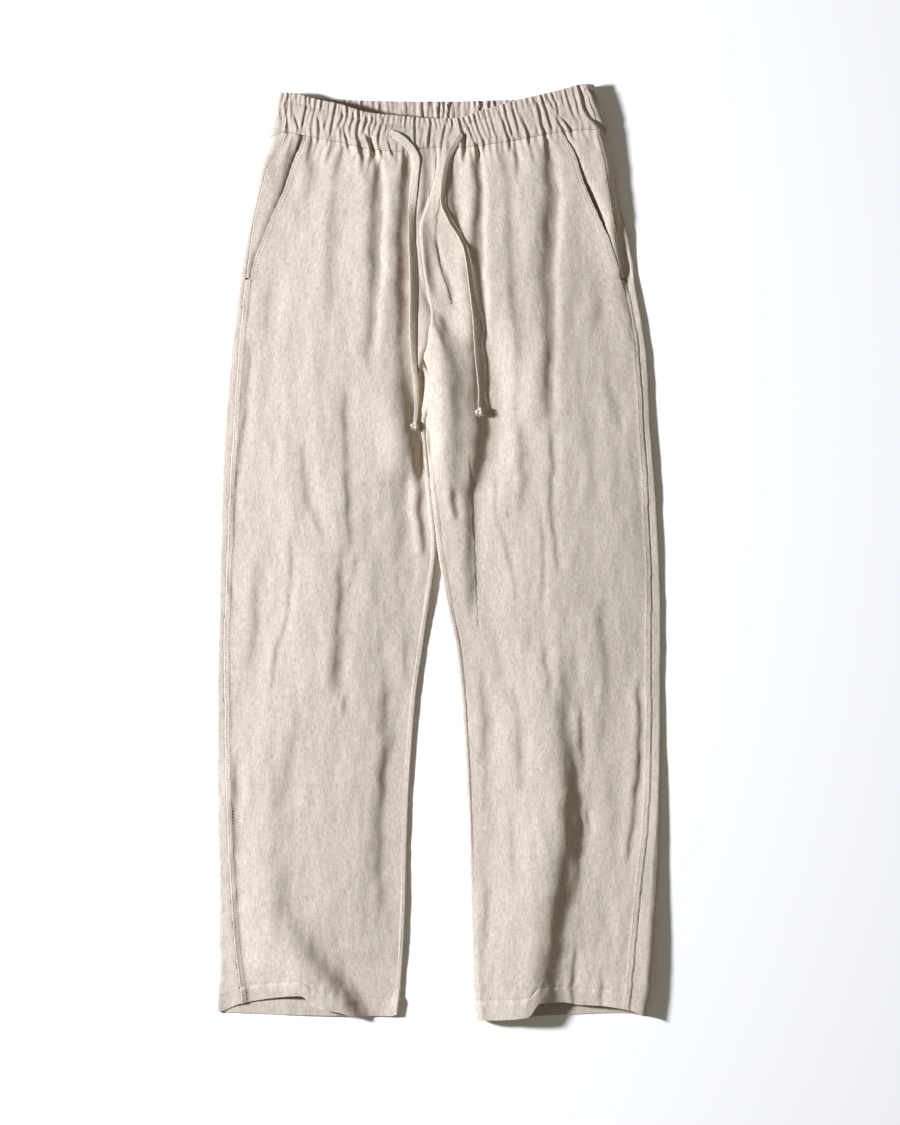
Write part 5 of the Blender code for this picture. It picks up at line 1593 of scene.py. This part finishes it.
def thread_tree(material: bpy.types.Material) -> bpy.types.NodeTree:
    """Geometry Nodes tree that lays one short thread along each edge of a mesh of lines.

    Args:
        material: Finish of the threads.

    Returns:
        The tree, whose named inputs are Lines, Thickness, Unevenness and Seed.
    """
    tree = bpy.data.node_groups.new("threads_on_lines", "GeometryNodeTree")
    tree.interface.new_socket("Lines", in_out="INPUT", socket_type="NodeSocketGeometry")
    for name, kind, value in (("Thickness", "NodeSocketFloat", 0.0005),
                              ("Unevenness", "NodeSocketFloat", 0.15),
                              ("Seed", "NodeSocketInt", 5)):
        socket = tree.interface.new_socket(name, in_out="INPUT", socket_type=kind)
        socket.default_value = value
    tree.interface.new_socket("Threads", in_out="OUTPUT", socket_type="NodeSocketGeometry")
    given = add_node(tree, "NodeGroupInput").outputs
    ends = add_node(tree, "GeometryNodeInputMeshEdgeVertices").outputs
    along = add_node(tree, "ShaderNodeVectorMath", {"operation": "SUBTRACT"},
                     {0: ends["Position 2"], 1: ends["Position 1"]}).outputs["Vector"]
    kept = add_node(tree, "GeometryNodeCaptureAttribute", {"domain": "EDGE"})
    kept.capture_items.new("VECTOR", "Along")
    tree.links.new(given["Lines"], kept.inputs["Geometry"])
    tree.links.new(along, kept.inputs["Along"])
    spots = add_node(tree, "GeometryNodeMeshToPoints", {"mode": "EDGES"},
                     {"Mesh": kept.outputs["Geometry"]}).outputs["Points"]
    length = add_node(tree, "ShaderNodeVectorMath", {"operation": "LENGTH"},
                      {0: kept.outputs["Along"]}).outputs["Value"]
    uneven = add_node(tree, "FunctionNodeRandomValue", {"data_type": "FLOAT"},
                      {"Seed": given["Seed"]})
    spread = add_node(tree, "ShaderNodeMath", {"operation": "MULTIPLY"},
                      {0: uneven.outputs["Value"], 1: given["Unevenness"]}).outputs[0]
    thick = add_node(tree, "ShaderNodeMath", {"operation": "MULTIPLY_ADD"},
                     {0: spread, 1: given["Thickness"], 2: given["Thickness"]}).outputs[0]
    size = add_node(tree, "ShaderNodeCombineXYZ", {},
                    {"X": length, "Y": thick, "Z": thick}).outputs[0]
    turn = add_node(tree, "FunctionNodeAlignRotationToVector", {"axis": "X"},
                    {"Vector": kept.outputs["Along"]}).outputs["Rotation"]
    bead = add_node(tree, "GeometryNodeMeshIcoSphere", {}, {"Radius": 0.5, "Subdivisions": 1})
    laid = add_node(tree, "GeometryNodeInstanceOnPoints", {},
                    {"Points": spots, "Instance": bead.outputs["Mesh"], "Rotation": turn,
                     "Scale": size}).outputs["Instances"]
    for kind, inputs in (("GeometryNodeRealizeInstances", {}), ("GeometryNodeSetShadeSmooth", {}),
                         ("GeometryNodeSetMaterial", {"Material": material})):
        laid = add_node(tree, kind, {}, {"Geometry": laid, **inputs}).outputs["Geometry"]
    add_node(tree, "NodeGroupOutput", {}, {"Threads": laid})
    return tree


def threads(name: str, runs: list[np.ndarray], thick: float, uneven: float,
            material: bpy.types.Material) -> bpy.types.Object:
    """Turn runs of points, in millimetres, into one plain mesh of short threads.

    Args:
        name: The piece's name.
        runs: Polylines; each edge of one becomes a thread.
        thick: Thickness of a thread in millimetres.
        uneven: How much thicker the thickest is, as a part of that.
        material: Finish of the threads.

    Returns:
        The object.
    """
    verts: list[list[float]] = []
    edges: list[tuple[int, int]] = []
    for run in runs:
        start = len(verts)
        verts.extend((run * MM).tolist())
        edges.extend((start + k, start + k + 1) for k in range(len(run) - 1))
    lines = bpy.data.meshes.new(name + "_lines")
    lines.from_pydata(verts, edges, [])
    thing = add_object(name + "_lines", lines)
    tree = thread_tree(material)
    modifier = thing.modifiers.new("threads", "NODES")
    modifier.node_group = tree
    values = {"Thickness": thick * MM, "Unevenness": uneven, "Seed": 5}
    for socket in tree.interface.items_tree:
        if socket.in_out == "INPUT" and socket.name in values:
            modifier[socket.identifier] = values[socket.name]
    bpy.context.view_layer.update()
    seen = thing.evaluated_get(bpy.context.evaluated_depsgraph_get())
    mesh = bpy.data.meshes.new_from_object(seen)
    mesh.name = name
    bpy.data.objects.remove(thing)
    bpy.data.meshes.remove(lines)
    log.info("%s: %d faces", name, len(mesh.polygons))
    return add_object(name, mesh)


@dataclass
class Stitching:
    """Every line of machine sewing, gathered as single stitches and made into one piece."""

    cloth: Cloth
    finish: bpy.types.Material
    length: float = 2.7
    pitch: float = 3.5
    thick: float = 0.55
    uneven: float = 0.3
    stand: float = 0.1
    tack_stand: float = 0.15
    stitches: list[np.ndarray] = field(default_factory=list, repr=False)

    def sew(self, line: np.ndarray) -> None:
        """Sew along a line of points in millimetres, one stitch a pitch with a gap between."""
        run = run_along(line)
        for start in np.arange(0.8, run[-1] - self.length, self.pitch):
            ends = np.array([start, start + self.length])
            self.stitches.append(points_at(line, run, ends))

    def sew_beside(self, panel: ClothPanel, offset: float, last: bool = False,
                   above: float = -900.0, below: float = 900.0) -> None:
        """Sew down a panel at a distance from its first or last column.

        Args:
            panel: The panel.
            offset: Distance along the cloth from that edge.
            last: True to measure from the last column.
            above: Lowest Y that is sewn.
            below: Highest Y that is sewn.
        """
        grid = panel.outer[:, ::-1] if last else panel.outer
        column = int(offset / CELL_WIDE)
        away = skin_of(panel.outer, panel.outer - panel.inner)[:, -1 - column if last else column]
        line = np.array([points_at(row, run_along(row), offset) for row in grid])
        made = line + away * self.stand
        keep = (made[:, 1] >= above) & (made[:, 1] <= below)
        if keep.sum() > 2:
            self.sew(made[keep])

    def sew_across(self, panel: ClothPanel, row: float) -> None:
        """Sew across a panel along one of its rows, which may lie between two."""
        low = int(row)
        part = row - low
        after = min(low + 1, len(panel.outer) - 1)
        line = panel.outer[low] * (1.0 - part) + panel.outer[after] * part
        self.sew(line + unit(panel.outer[low] - panel.inner[low]) * self.stand)

    def sew_on_top(self, plan: list[tuple[float, float]]) -> None:
        """Sew along a line of X, Y points, on whatever cloth lies uppermost there."""
        points = np.array(plan, float)
        run = run_along(points)
        even = np.linspace(0.0, run[-1], max(3, int(run[-1] / 1.5)))
        made = [(x, y, self.cloth.top(x, y)) for x, y in points_at(points, run, even)]
        made = [spot for spot in made if spot[2] is not None]
        self.sew(np.array(made) + Z_UP * self.stand)

    def tack(self, begin: np.ndarray, end: np.ndarray, width: float) -> None:
        """Close satin stitches across a short line, as in a bar tack."""
        length = np.linalg.norm(end - begin)
        ahead = (end - begin) / length
        across = np.array([-ahead[1], ahead[0]]) * width / 2.0
        for part in np.arange(0.0, length, TACK_PITCH):
            spot = begin + ahead * part
            pair = [(*edge, self.cloth.top(*edge)) for edge in (spot - across, spot + across)]
            low, high = pair[0][2], pair[1][2]
            if low is not None and high is not None and abs(low - high) < width:
                self.stitches.append(np.array(pair) + Z_UP * self.tack_stand)

    def buttonhole(self, x: float, y: float, lean: float) -> None:
        """A corded buttonhole: satin sides and bars round a slit that leans by some degrees."""
        turn = math.radians(lean)
        centre = np.array([x, y])
        up = np.array([math.sin(turn), math.cos(turn)])
        over = np.array([up[1], -up[0]])
        half = up * BUTTONHOLE_LENGTH / 2.0
        for side in (-1.7, 1.7):
            self.tack(centre + over * side - half, centre + over * side + half, 1.8)
        for end in (-half, half):
            self.tack(centre + end - over * 2.6, centre + end + over * 2.6, 1.4)

    def build(self, panels: dict[str, ClothPanel]) -> None:
        """Sew the seams, hems, pockets, fly and waistband, and make the stitches one piece.

        Args:
            panels: The cloth pieces by name.
        """
        for side in Side:
            label = side.name.lower()
            front, back = panels["front_" + label], panels["back_" + label]
            facing = panels["pocket_facing_" + label]
            for offset in SEAM_ROWS:
                self.sew_beside(front, offset)
            self.sew_beside(facing, SEAM_ROWS[0], above=POCKET_END + 4.0)
            self.sew_beside(front, INSEAM_ROW, last=True, below=CROTCH_ALONG - 6.0)
            self.sew_beside(back, INSEAM_ROW, last=True)
            for panel in (front, back):
                self.sew_across(panel, self.row_at(panel, HEM_ROW))
            half = np.array([1.0, -4.0])
            self.tack(POCKET_TACKS[side] - half, POCKET_TACKS[side] + half, 2.2)
        for panel in (panels["waistband_front"], panels["waistband_back"]):
            rows = len(panel.outer) - 1
            self.sew_across(panel, BAND_ROW * rows)
            self.sew_across(panel, (1.0 - HEADER / BAND_TALL) * rows)
        for plan in SEWN_ON_TOP:
            self.sew_on_top(plan)
        for hole in BUTTONHOLES:
            self.buttonhole(*hole)
        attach(threads("stitches", self.stitches, self.thick, self.uneven, self.finish), BODY)

    @staticmethod
    def row_at(panel: ClothPanel, hem: float) -> float:
        """Number of a panel's row that lies at a distance above its hem, along its middle."""
        column = panel.outer[:, panel.outer.shape[1] // 2]
        run = run_along(column[::-1])
        return len(column) - 1 - float(np.interp(hem, run, np.arange(len(column))))


def side_axes(ahead: np.ndarray) -> tuple[np.ndarray, np.ndarray]:
    """The level direction across a run, and the one that stands up from it."""
    over = unit(np.cross(Z_UP, ahead))
    return over, np.cross(ahead, over)


def inside_out(thing: bpy.types.Object) -> bool:
    """True if a closed mesh's faces point inwards, by its signed volume."""
    mesh = thing.data
    total = 0.0
    for face in mesh.polygons:
        corner = [mesh.vertices[k].co for k in face.vertices]
        for k in range(1, len(corner) - 1):
            total += corner[0].dot(corner[k].cross(corner[k + 1]))
    return total < 0.0


def tube(name: str, rings: np.ndarray, uv: np.ndarray, finish: bpy.types.Material, sharp: float,
         node: str, joined: bool) -> None:
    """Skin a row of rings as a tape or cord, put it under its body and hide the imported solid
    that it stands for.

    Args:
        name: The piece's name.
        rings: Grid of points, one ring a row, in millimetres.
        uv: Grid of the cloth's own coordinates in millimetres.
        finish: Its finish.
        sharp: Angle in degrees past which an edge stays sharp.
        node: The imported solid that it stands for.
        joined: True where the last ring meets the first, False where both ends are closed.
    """
    count, ring = rings.shape[:2]
    index = np.arange(count * ring).reshape(count, ring)
    after = np.roll(index, -1, axis=0)
    quads = np.stack([index, np.roll(index, -1, axis=1), np.roll(after, -1, axis=1), after],
                     axis=-1)
    faces = (quads if joined else quads[:-1]).reshape(-1, 4).tolist()
    if not joined:
        faces += [index[0][::-1].tolist(), index[-1].tolist()]
    made = make_object(name, rings.reshape(-1, 3), faces, uv.reshape(-1, 2) * MM, finish, sharp)
    if inside_out(made):
        made.data.flip_normals()
    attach(made, BODY)
    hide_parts(node)


@dataclass
class Tie:
    """One free end of the flat drawstring, with the knot in its end."""

    side: Side
    finish: bpy.types.Material
    cloth: Cloth
    width: float = 9.4
    thick: float = 1.5
    points: int = 240
    ring: int = 16
    path: np.ndarray | None = field(default=None, repr=False)

    @property
    def label(self) -> str:
        """The side's name, as the pieces' names end."""
        return self.side.name.lower()

    def route(self) -> np.ndarray:
        """Even points on a smooth curve through the tie's own points, in millimetres."""
        given = np.array(TIE_ROUTES[self.side], float)
        run = run_along(given)
        even = np.linspace(0.0, run[-1], self.points)
        return np.stack([smooth_table(even, run, given[:, k]) for k in range(3)], axis=1)

    def clearance(self, line: np.ndarray, over: np.ndarray, wide: np.ndarray) -> np.ndarray:
        """How far the tape may sink until its lower side just clears the cloth.

        Args:
            line: Its centreline.
            over: The way across it at each point.
            wide: Its width at each point.

        Returns:
            The drop at each point, smoothed along the tape.
        """
        gaps = np.zeros(len(line))
        for i, (spot, way, width) in enumerate(zip(line, over, wide)):
            places = [spot + way * width * part for part in (-0.5, -0.25, 0.0, 0.25, 0.5)]
            tops = [(place, self.cloth.top(place[0], place[1])) for place in places]
            gaps[i] = min((place[2] - top for place, top in tops if top is not None), default=0.0)
        kernel = np.hanning(2 * SETTLE_REACH + 1)
        held = np.pad(gaps - self.thick * 0.75, SETTLE_REACH, mode="edge")
        return np.convolve(held, kernel / kernel.sum(), mode="valid")

    def build(self) -> None:
        """Sweep the tape along its route, turned and drawn in as it lies, with beaded edges."""
        line = self.route()
        run = run_along(line)
        ahead = unit(np.gradient(line, axis=0))
        flat, up = side_axes(ahead)
        lay = np.array(TIE_TURNS[self.side], float)
        turn = np.radians(smooth_table(run, lay[:, 0], lay[:, 1]))[:, None]
        wide = smooth_table(run, lay[:, 0], lay[:, 2])
        right = flat * np.where(flat[:, :1] > 0, 1.0, -1.0)
        over = right * np.cos(turn) - up * np.sin(turn)
        face = np.cross(over, ahead)
        face = face * np.sign(face[:, 2:3])
        self.path = line - Z_UP * self.clearance(line, over, wide)[:, None]
        angle = np.linspace(0.0, 2.0 * math.pi, self.ring, endpoint=False)
        side_part = np.sign(np.cos(angle)) * np.abs(np.cos(angle)) ** 0.6
        face_part = np.sign(np.sin(angle)) * np.abs(np.sin(angle)) ** 0.8
        bead = 1.0 + 0.5 * hump(np.abs(side_part), 0.93, 0.07)
        across = side_part * wide[:, None] / 2.0
        rings = (self.path[:, None, :] + over[:, None, :] * across[:, :, None]
                 + face[:, None, :] * (face_part * bead * self.thick / 2.0)[None, :, None])
        uv = np.stack([across + 700.0, np.broadcast_to(run[:, None], across.shape)], axis=-1)
        tube("tie_" + self.label, rings, uv, self.finish, 60.0, "drawstring_" + self.label, False)


@dataclass
class Knot:
    """The overhand knot pulled tight in a tape's end, with the frayed hemp below it."""

    tie: Tie
    finish: bpy.types.Material
    fray: bpy.types.Material
    radius: float = 1.85
    cord: float = 2.05
    points: int = 132
    ring: int = 10
    below: float = 2.6
    fibres: int = 34
    fibre_thick: float = 0.42

    def build(self) -> None:
        """Make the knot, a trefoil whose three crossings are a tight overhand knot's bumps."""
        path = self.tie.path
        ahead = unit(path[-1] - path[-8])
        over, up = side_axes(ahead)
        centre = path[-1] + ahead * self.below + up * 0.4
        t = np.linspace(0.0, 2.0 * math.pi, self.points, endpoint=False)[:, None]
        line = (centre + (np.sin(t) + 1.35 * np.sin(2.0 * t)) * self.radius * 0.78 * over
                + (np.cos(t) - 1.35 * np.cos(2.0 * t)) * self.radius * 0.62 * ahead
                - np.sin(3.0 * t) * self.cord * 0.62 * up)
        run = unit(np.roll(line, -1, axis=0) - np.roll(line, 1, axis=0))
        side = unit(np.cross(run, up))
        top = np.cross(side, run)
        angle = np.linspace(0.0, 2.0 * math.pi, self.ring, endpoint=False)
        rings = (line[:, None] + side[:, None] * (np.cos(angle) * self.cord)[None, :, None]
                 + top[:, None] * (np.sin(angle) * self.cord * 0.72)[None, :, None])
        uv = np.stack(np.meshgrid(np.arange(self.points) * 0.35, angle * self.cord,
                                  indexing="ij"), axis=-1)
        knot = "knot_" + self.tie.label
        tube(knot + "_tape", rings, uv, self.finish, 80.0, knot, True)
        loose = threads(knot + "_fray", self.frayed(centre, ahead, over, up), self.fibre_thick,
                        0.5, self.fray)
        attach(loose, BODY)

    def frayed(self, centre: np.ndarray, ahead: np.ndarray, over: np.ndarray,
               up: np.ndarray) -> list[np.ndarray]:
        """Loose fibres of the tape's raw end.

        Args:
            centre: The knot's middle.
            ahead: The way the tape runs there.
            over: The way across it.
            up: The way off the cloth.

        Returns:
            A bent line of four points for each fibre.
        """
        rng = np.random.default_rng(FRAY_SEEDS[self.tie.side])
        parts = np.linspace(0.0, 1.0, 4)[:, None]
        fibres = []
        for _ in range(self.fibres):
            lean = rng.normal(0.0, 0.55)
            reach = rng.uniform(2.6, 5.2)
            root = (centre + ahead * 1.8 + over * rng.uniform(-2.2, 2.2)
                    + up * rng.uniform(-0.8, 1.2))
            aim = ahead * math.cos(lean) + over * math.sin(lean)
            bend = over * rng.normal(0.0, 0.35) - up * 0.12
            fibre = root + aim * reach * parts + bend * reach * parts**2
            fibre[:, 2] = np.maximum(fibre[:, 2], 1.2)
            fibres.append(fibre)
        return fibres


@dataclass
class Studio:
    """Camera, pale floor, one soft key lamp and an even fill."""

    distance: float = 3.2
    cloth_height: float = 0.012
    seen_height: float = 1.2375
    sensor: float = 36.0
    centre: tuple[float, float] = (0.0121, -0.0113)
    floor_reach: float = 6.0
    key_place: tuple[float, float, float] = (-2.2, 0.33, 1.43)
    key_aim: tuple[float, float, float] = (0.0, -0.05, 0.0)
    key_size: float = 0.34
    key_power: float = 53.5
    key_colour: tuple[float, float, float] = (0.90, 1.0, 1.25)
    fill_power: float = 0.185
    fill_colour: tuple[float, float, float, float] = (1.0, 0.98, 0.93, 1.0)

    def camera(self) -> None:
        """Put the camera straight above the trousers, at the photograph's framing."""
        data = bpy.data.cameras.new("camera")
        data.type = "PERSP"
        data.sensor_width = self.sensor
        data.lens = self.sensor * (self.distance - self.cloth_height) / self.seen_height
        data.clip_start, data.clip_end = 0.05, 50.0
        thing = add_object("camera", data)
        thing.location = (*self.centre, self.distance)
        bpy.context.scene.camera = thing

    def floor(self) -> None:
        """Lay the plain floor."""
        mesh = bpy.data.meshes.new("floor")
        corners = [(x * self.floor_reach, y * self.floor_reach, 0.0)
                   for x, y in ((-1, -1), (1, -1), (1, 1), (-1, 1))]
        mesh.from_pydata(corners, [], [(0, 1, 2, 3)])
        mesh.materials.append(StudioPaper().build())
        add_object("floor", mesh)

    def lights(self) -> None:
        """Hang the key lamp at the right leg's side and light the rest evenly.

        The key's strength falls off slowly, as a big lamp's far away does.
        """
        data = bpy.data.lights.new("key", "AREA")
        data.shape = "DISK"
        data.size = self.key_size
        data.energy = 1.0
        data.color = self.key_colour
        data.use_nodes = True
        falloff = add_node(data.node_tree, "ShaderNodeLightFalloff", {},
                           {"Strength": self.key_power})
        data.node_tree.links.new(falloff.outputs["Linear"],
                                 data.node_tree.nodes["Emission"].inputs["Strength"])
        thing = add_object("key", data)
        thing.location = self.key_place
        thing.rotation_mode = "QUATERNION"
        aim = Vector(self.key_aim) - Vector(self.key_place)
        thing.rotation_quaternion = aim.to_track_quat("-Z", "Y")
        world = bpy.data.worlds.new("fill")
        world.use_nodes = True
        fill = world.node_tree.nodes["Background"].inputs
        fill["Color"].default_value = self.fill_colour
        fill["Strength"].default_value = self.fill_power
        bpy.context.scene.world = world
        bpy.context.scene.view_settings.view_transform = "Standard"


def leg_panels(side: Side, form: TrouserForm, hemp: bpy.types.Material, top: FrontRelief,
               low: BackRelief) -> list[ClothPanel]:
    """The pieces of one leg, in the order in which they are laid.

    Args:
        side: The leg.
        form: The trousers' sections.
        hemp: Their finish.
        top: Creases of the cloth that faces up.
        low: Creases of the cloth that lies on the surface.

    Returns:
        The pieces, not yet built.
    """
    label = side.name.lower()
    front = FrontPanel("front_" + label, form, hemp, (0.28, 0.98), 0.235, side=side, relief=top)
    pieces = [BackPanel("back_" + label, form, hemp, (0.30, 1.0), 0.255, side=side, relief=low,
                        front_relief=top),
              front,
              PocketFacing("pocket_facing_" + label, form, hemp, (0.07, 0.17), 0.0055, side=side,
                           relief=top)]
    if side is Side.LEFT:
        pieces += [Overlay("fly", form, hemp, (0.022, 0.186), base=front, first=WAIST_SEAM_ALONG,
                           last=271.0, rise=0.8),
                   Overlay("thigh_piece_left", form, hemp, (0.040, 0.222), base=front, first=135.0,
                           last=-84.0, inner_margin=8, rise=0.5, soft_edge=1.2, soft_head=60.0)]
    return pieces


def main() -> None:
    """Build the trousers piece by piece."""
    logging.basicConfig(level=logging.INFO, format="%(name)s: %(message)s")
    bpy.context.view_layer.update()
    studio = Studio()
    studio.camera()
    studio.floor()
    studio.lights()
    form = TrouserForm()
    hemp = WovenHemp("plain_woven_hemp").build()
    # The band's hemp is darker than the legs' for two reasons. Part of it is the band's own denser
    # gathered cloth. Part of it is painted shade that stands in for the shadow lying among its
    # pleats.
    band = WovenHemp("gathered_hemp_band", base="#bba993", pale="#c7b79f", deep="#a89782").build()
    tape = WovenHemp("woven_hemp_tape", base="#cabaa2", pale="#d8c7ae", thread_mm=1.1,
                     soak=0.12).build()
    frayed = SewingThread("frayed_hemp_fibre", base="#d2c2ab", deep="#b7a58d").build()
    top, low = FrontRelief(), BackRelief()
    panels = [panel for side in Side for panel in leg_panels(side, form, hemp, top, low)]
    gathered = {"held": "gathered", "slot": "hemp_waistband"}
    panels += [FrontBand("waistband_front", form, band, (0.43, 0.048), relief=top, **gathered),
               BackBand("waistband_back", form, band, (0.54, 0.05), relief=low, front_relief=top,
                        **gathered)]
    for panel in panels:
        panel.build()
    cloth = Cloth(panels)
    Stitching(cloth, SewingThread().build()).build({panel.node: panel for panel in panels})
    for side in Side:
        tie = Tie(side, tape, cloth)
        tie.build()
        Knot(tie, tape, frayed).build()


if __name__ == "__main__":
    main()
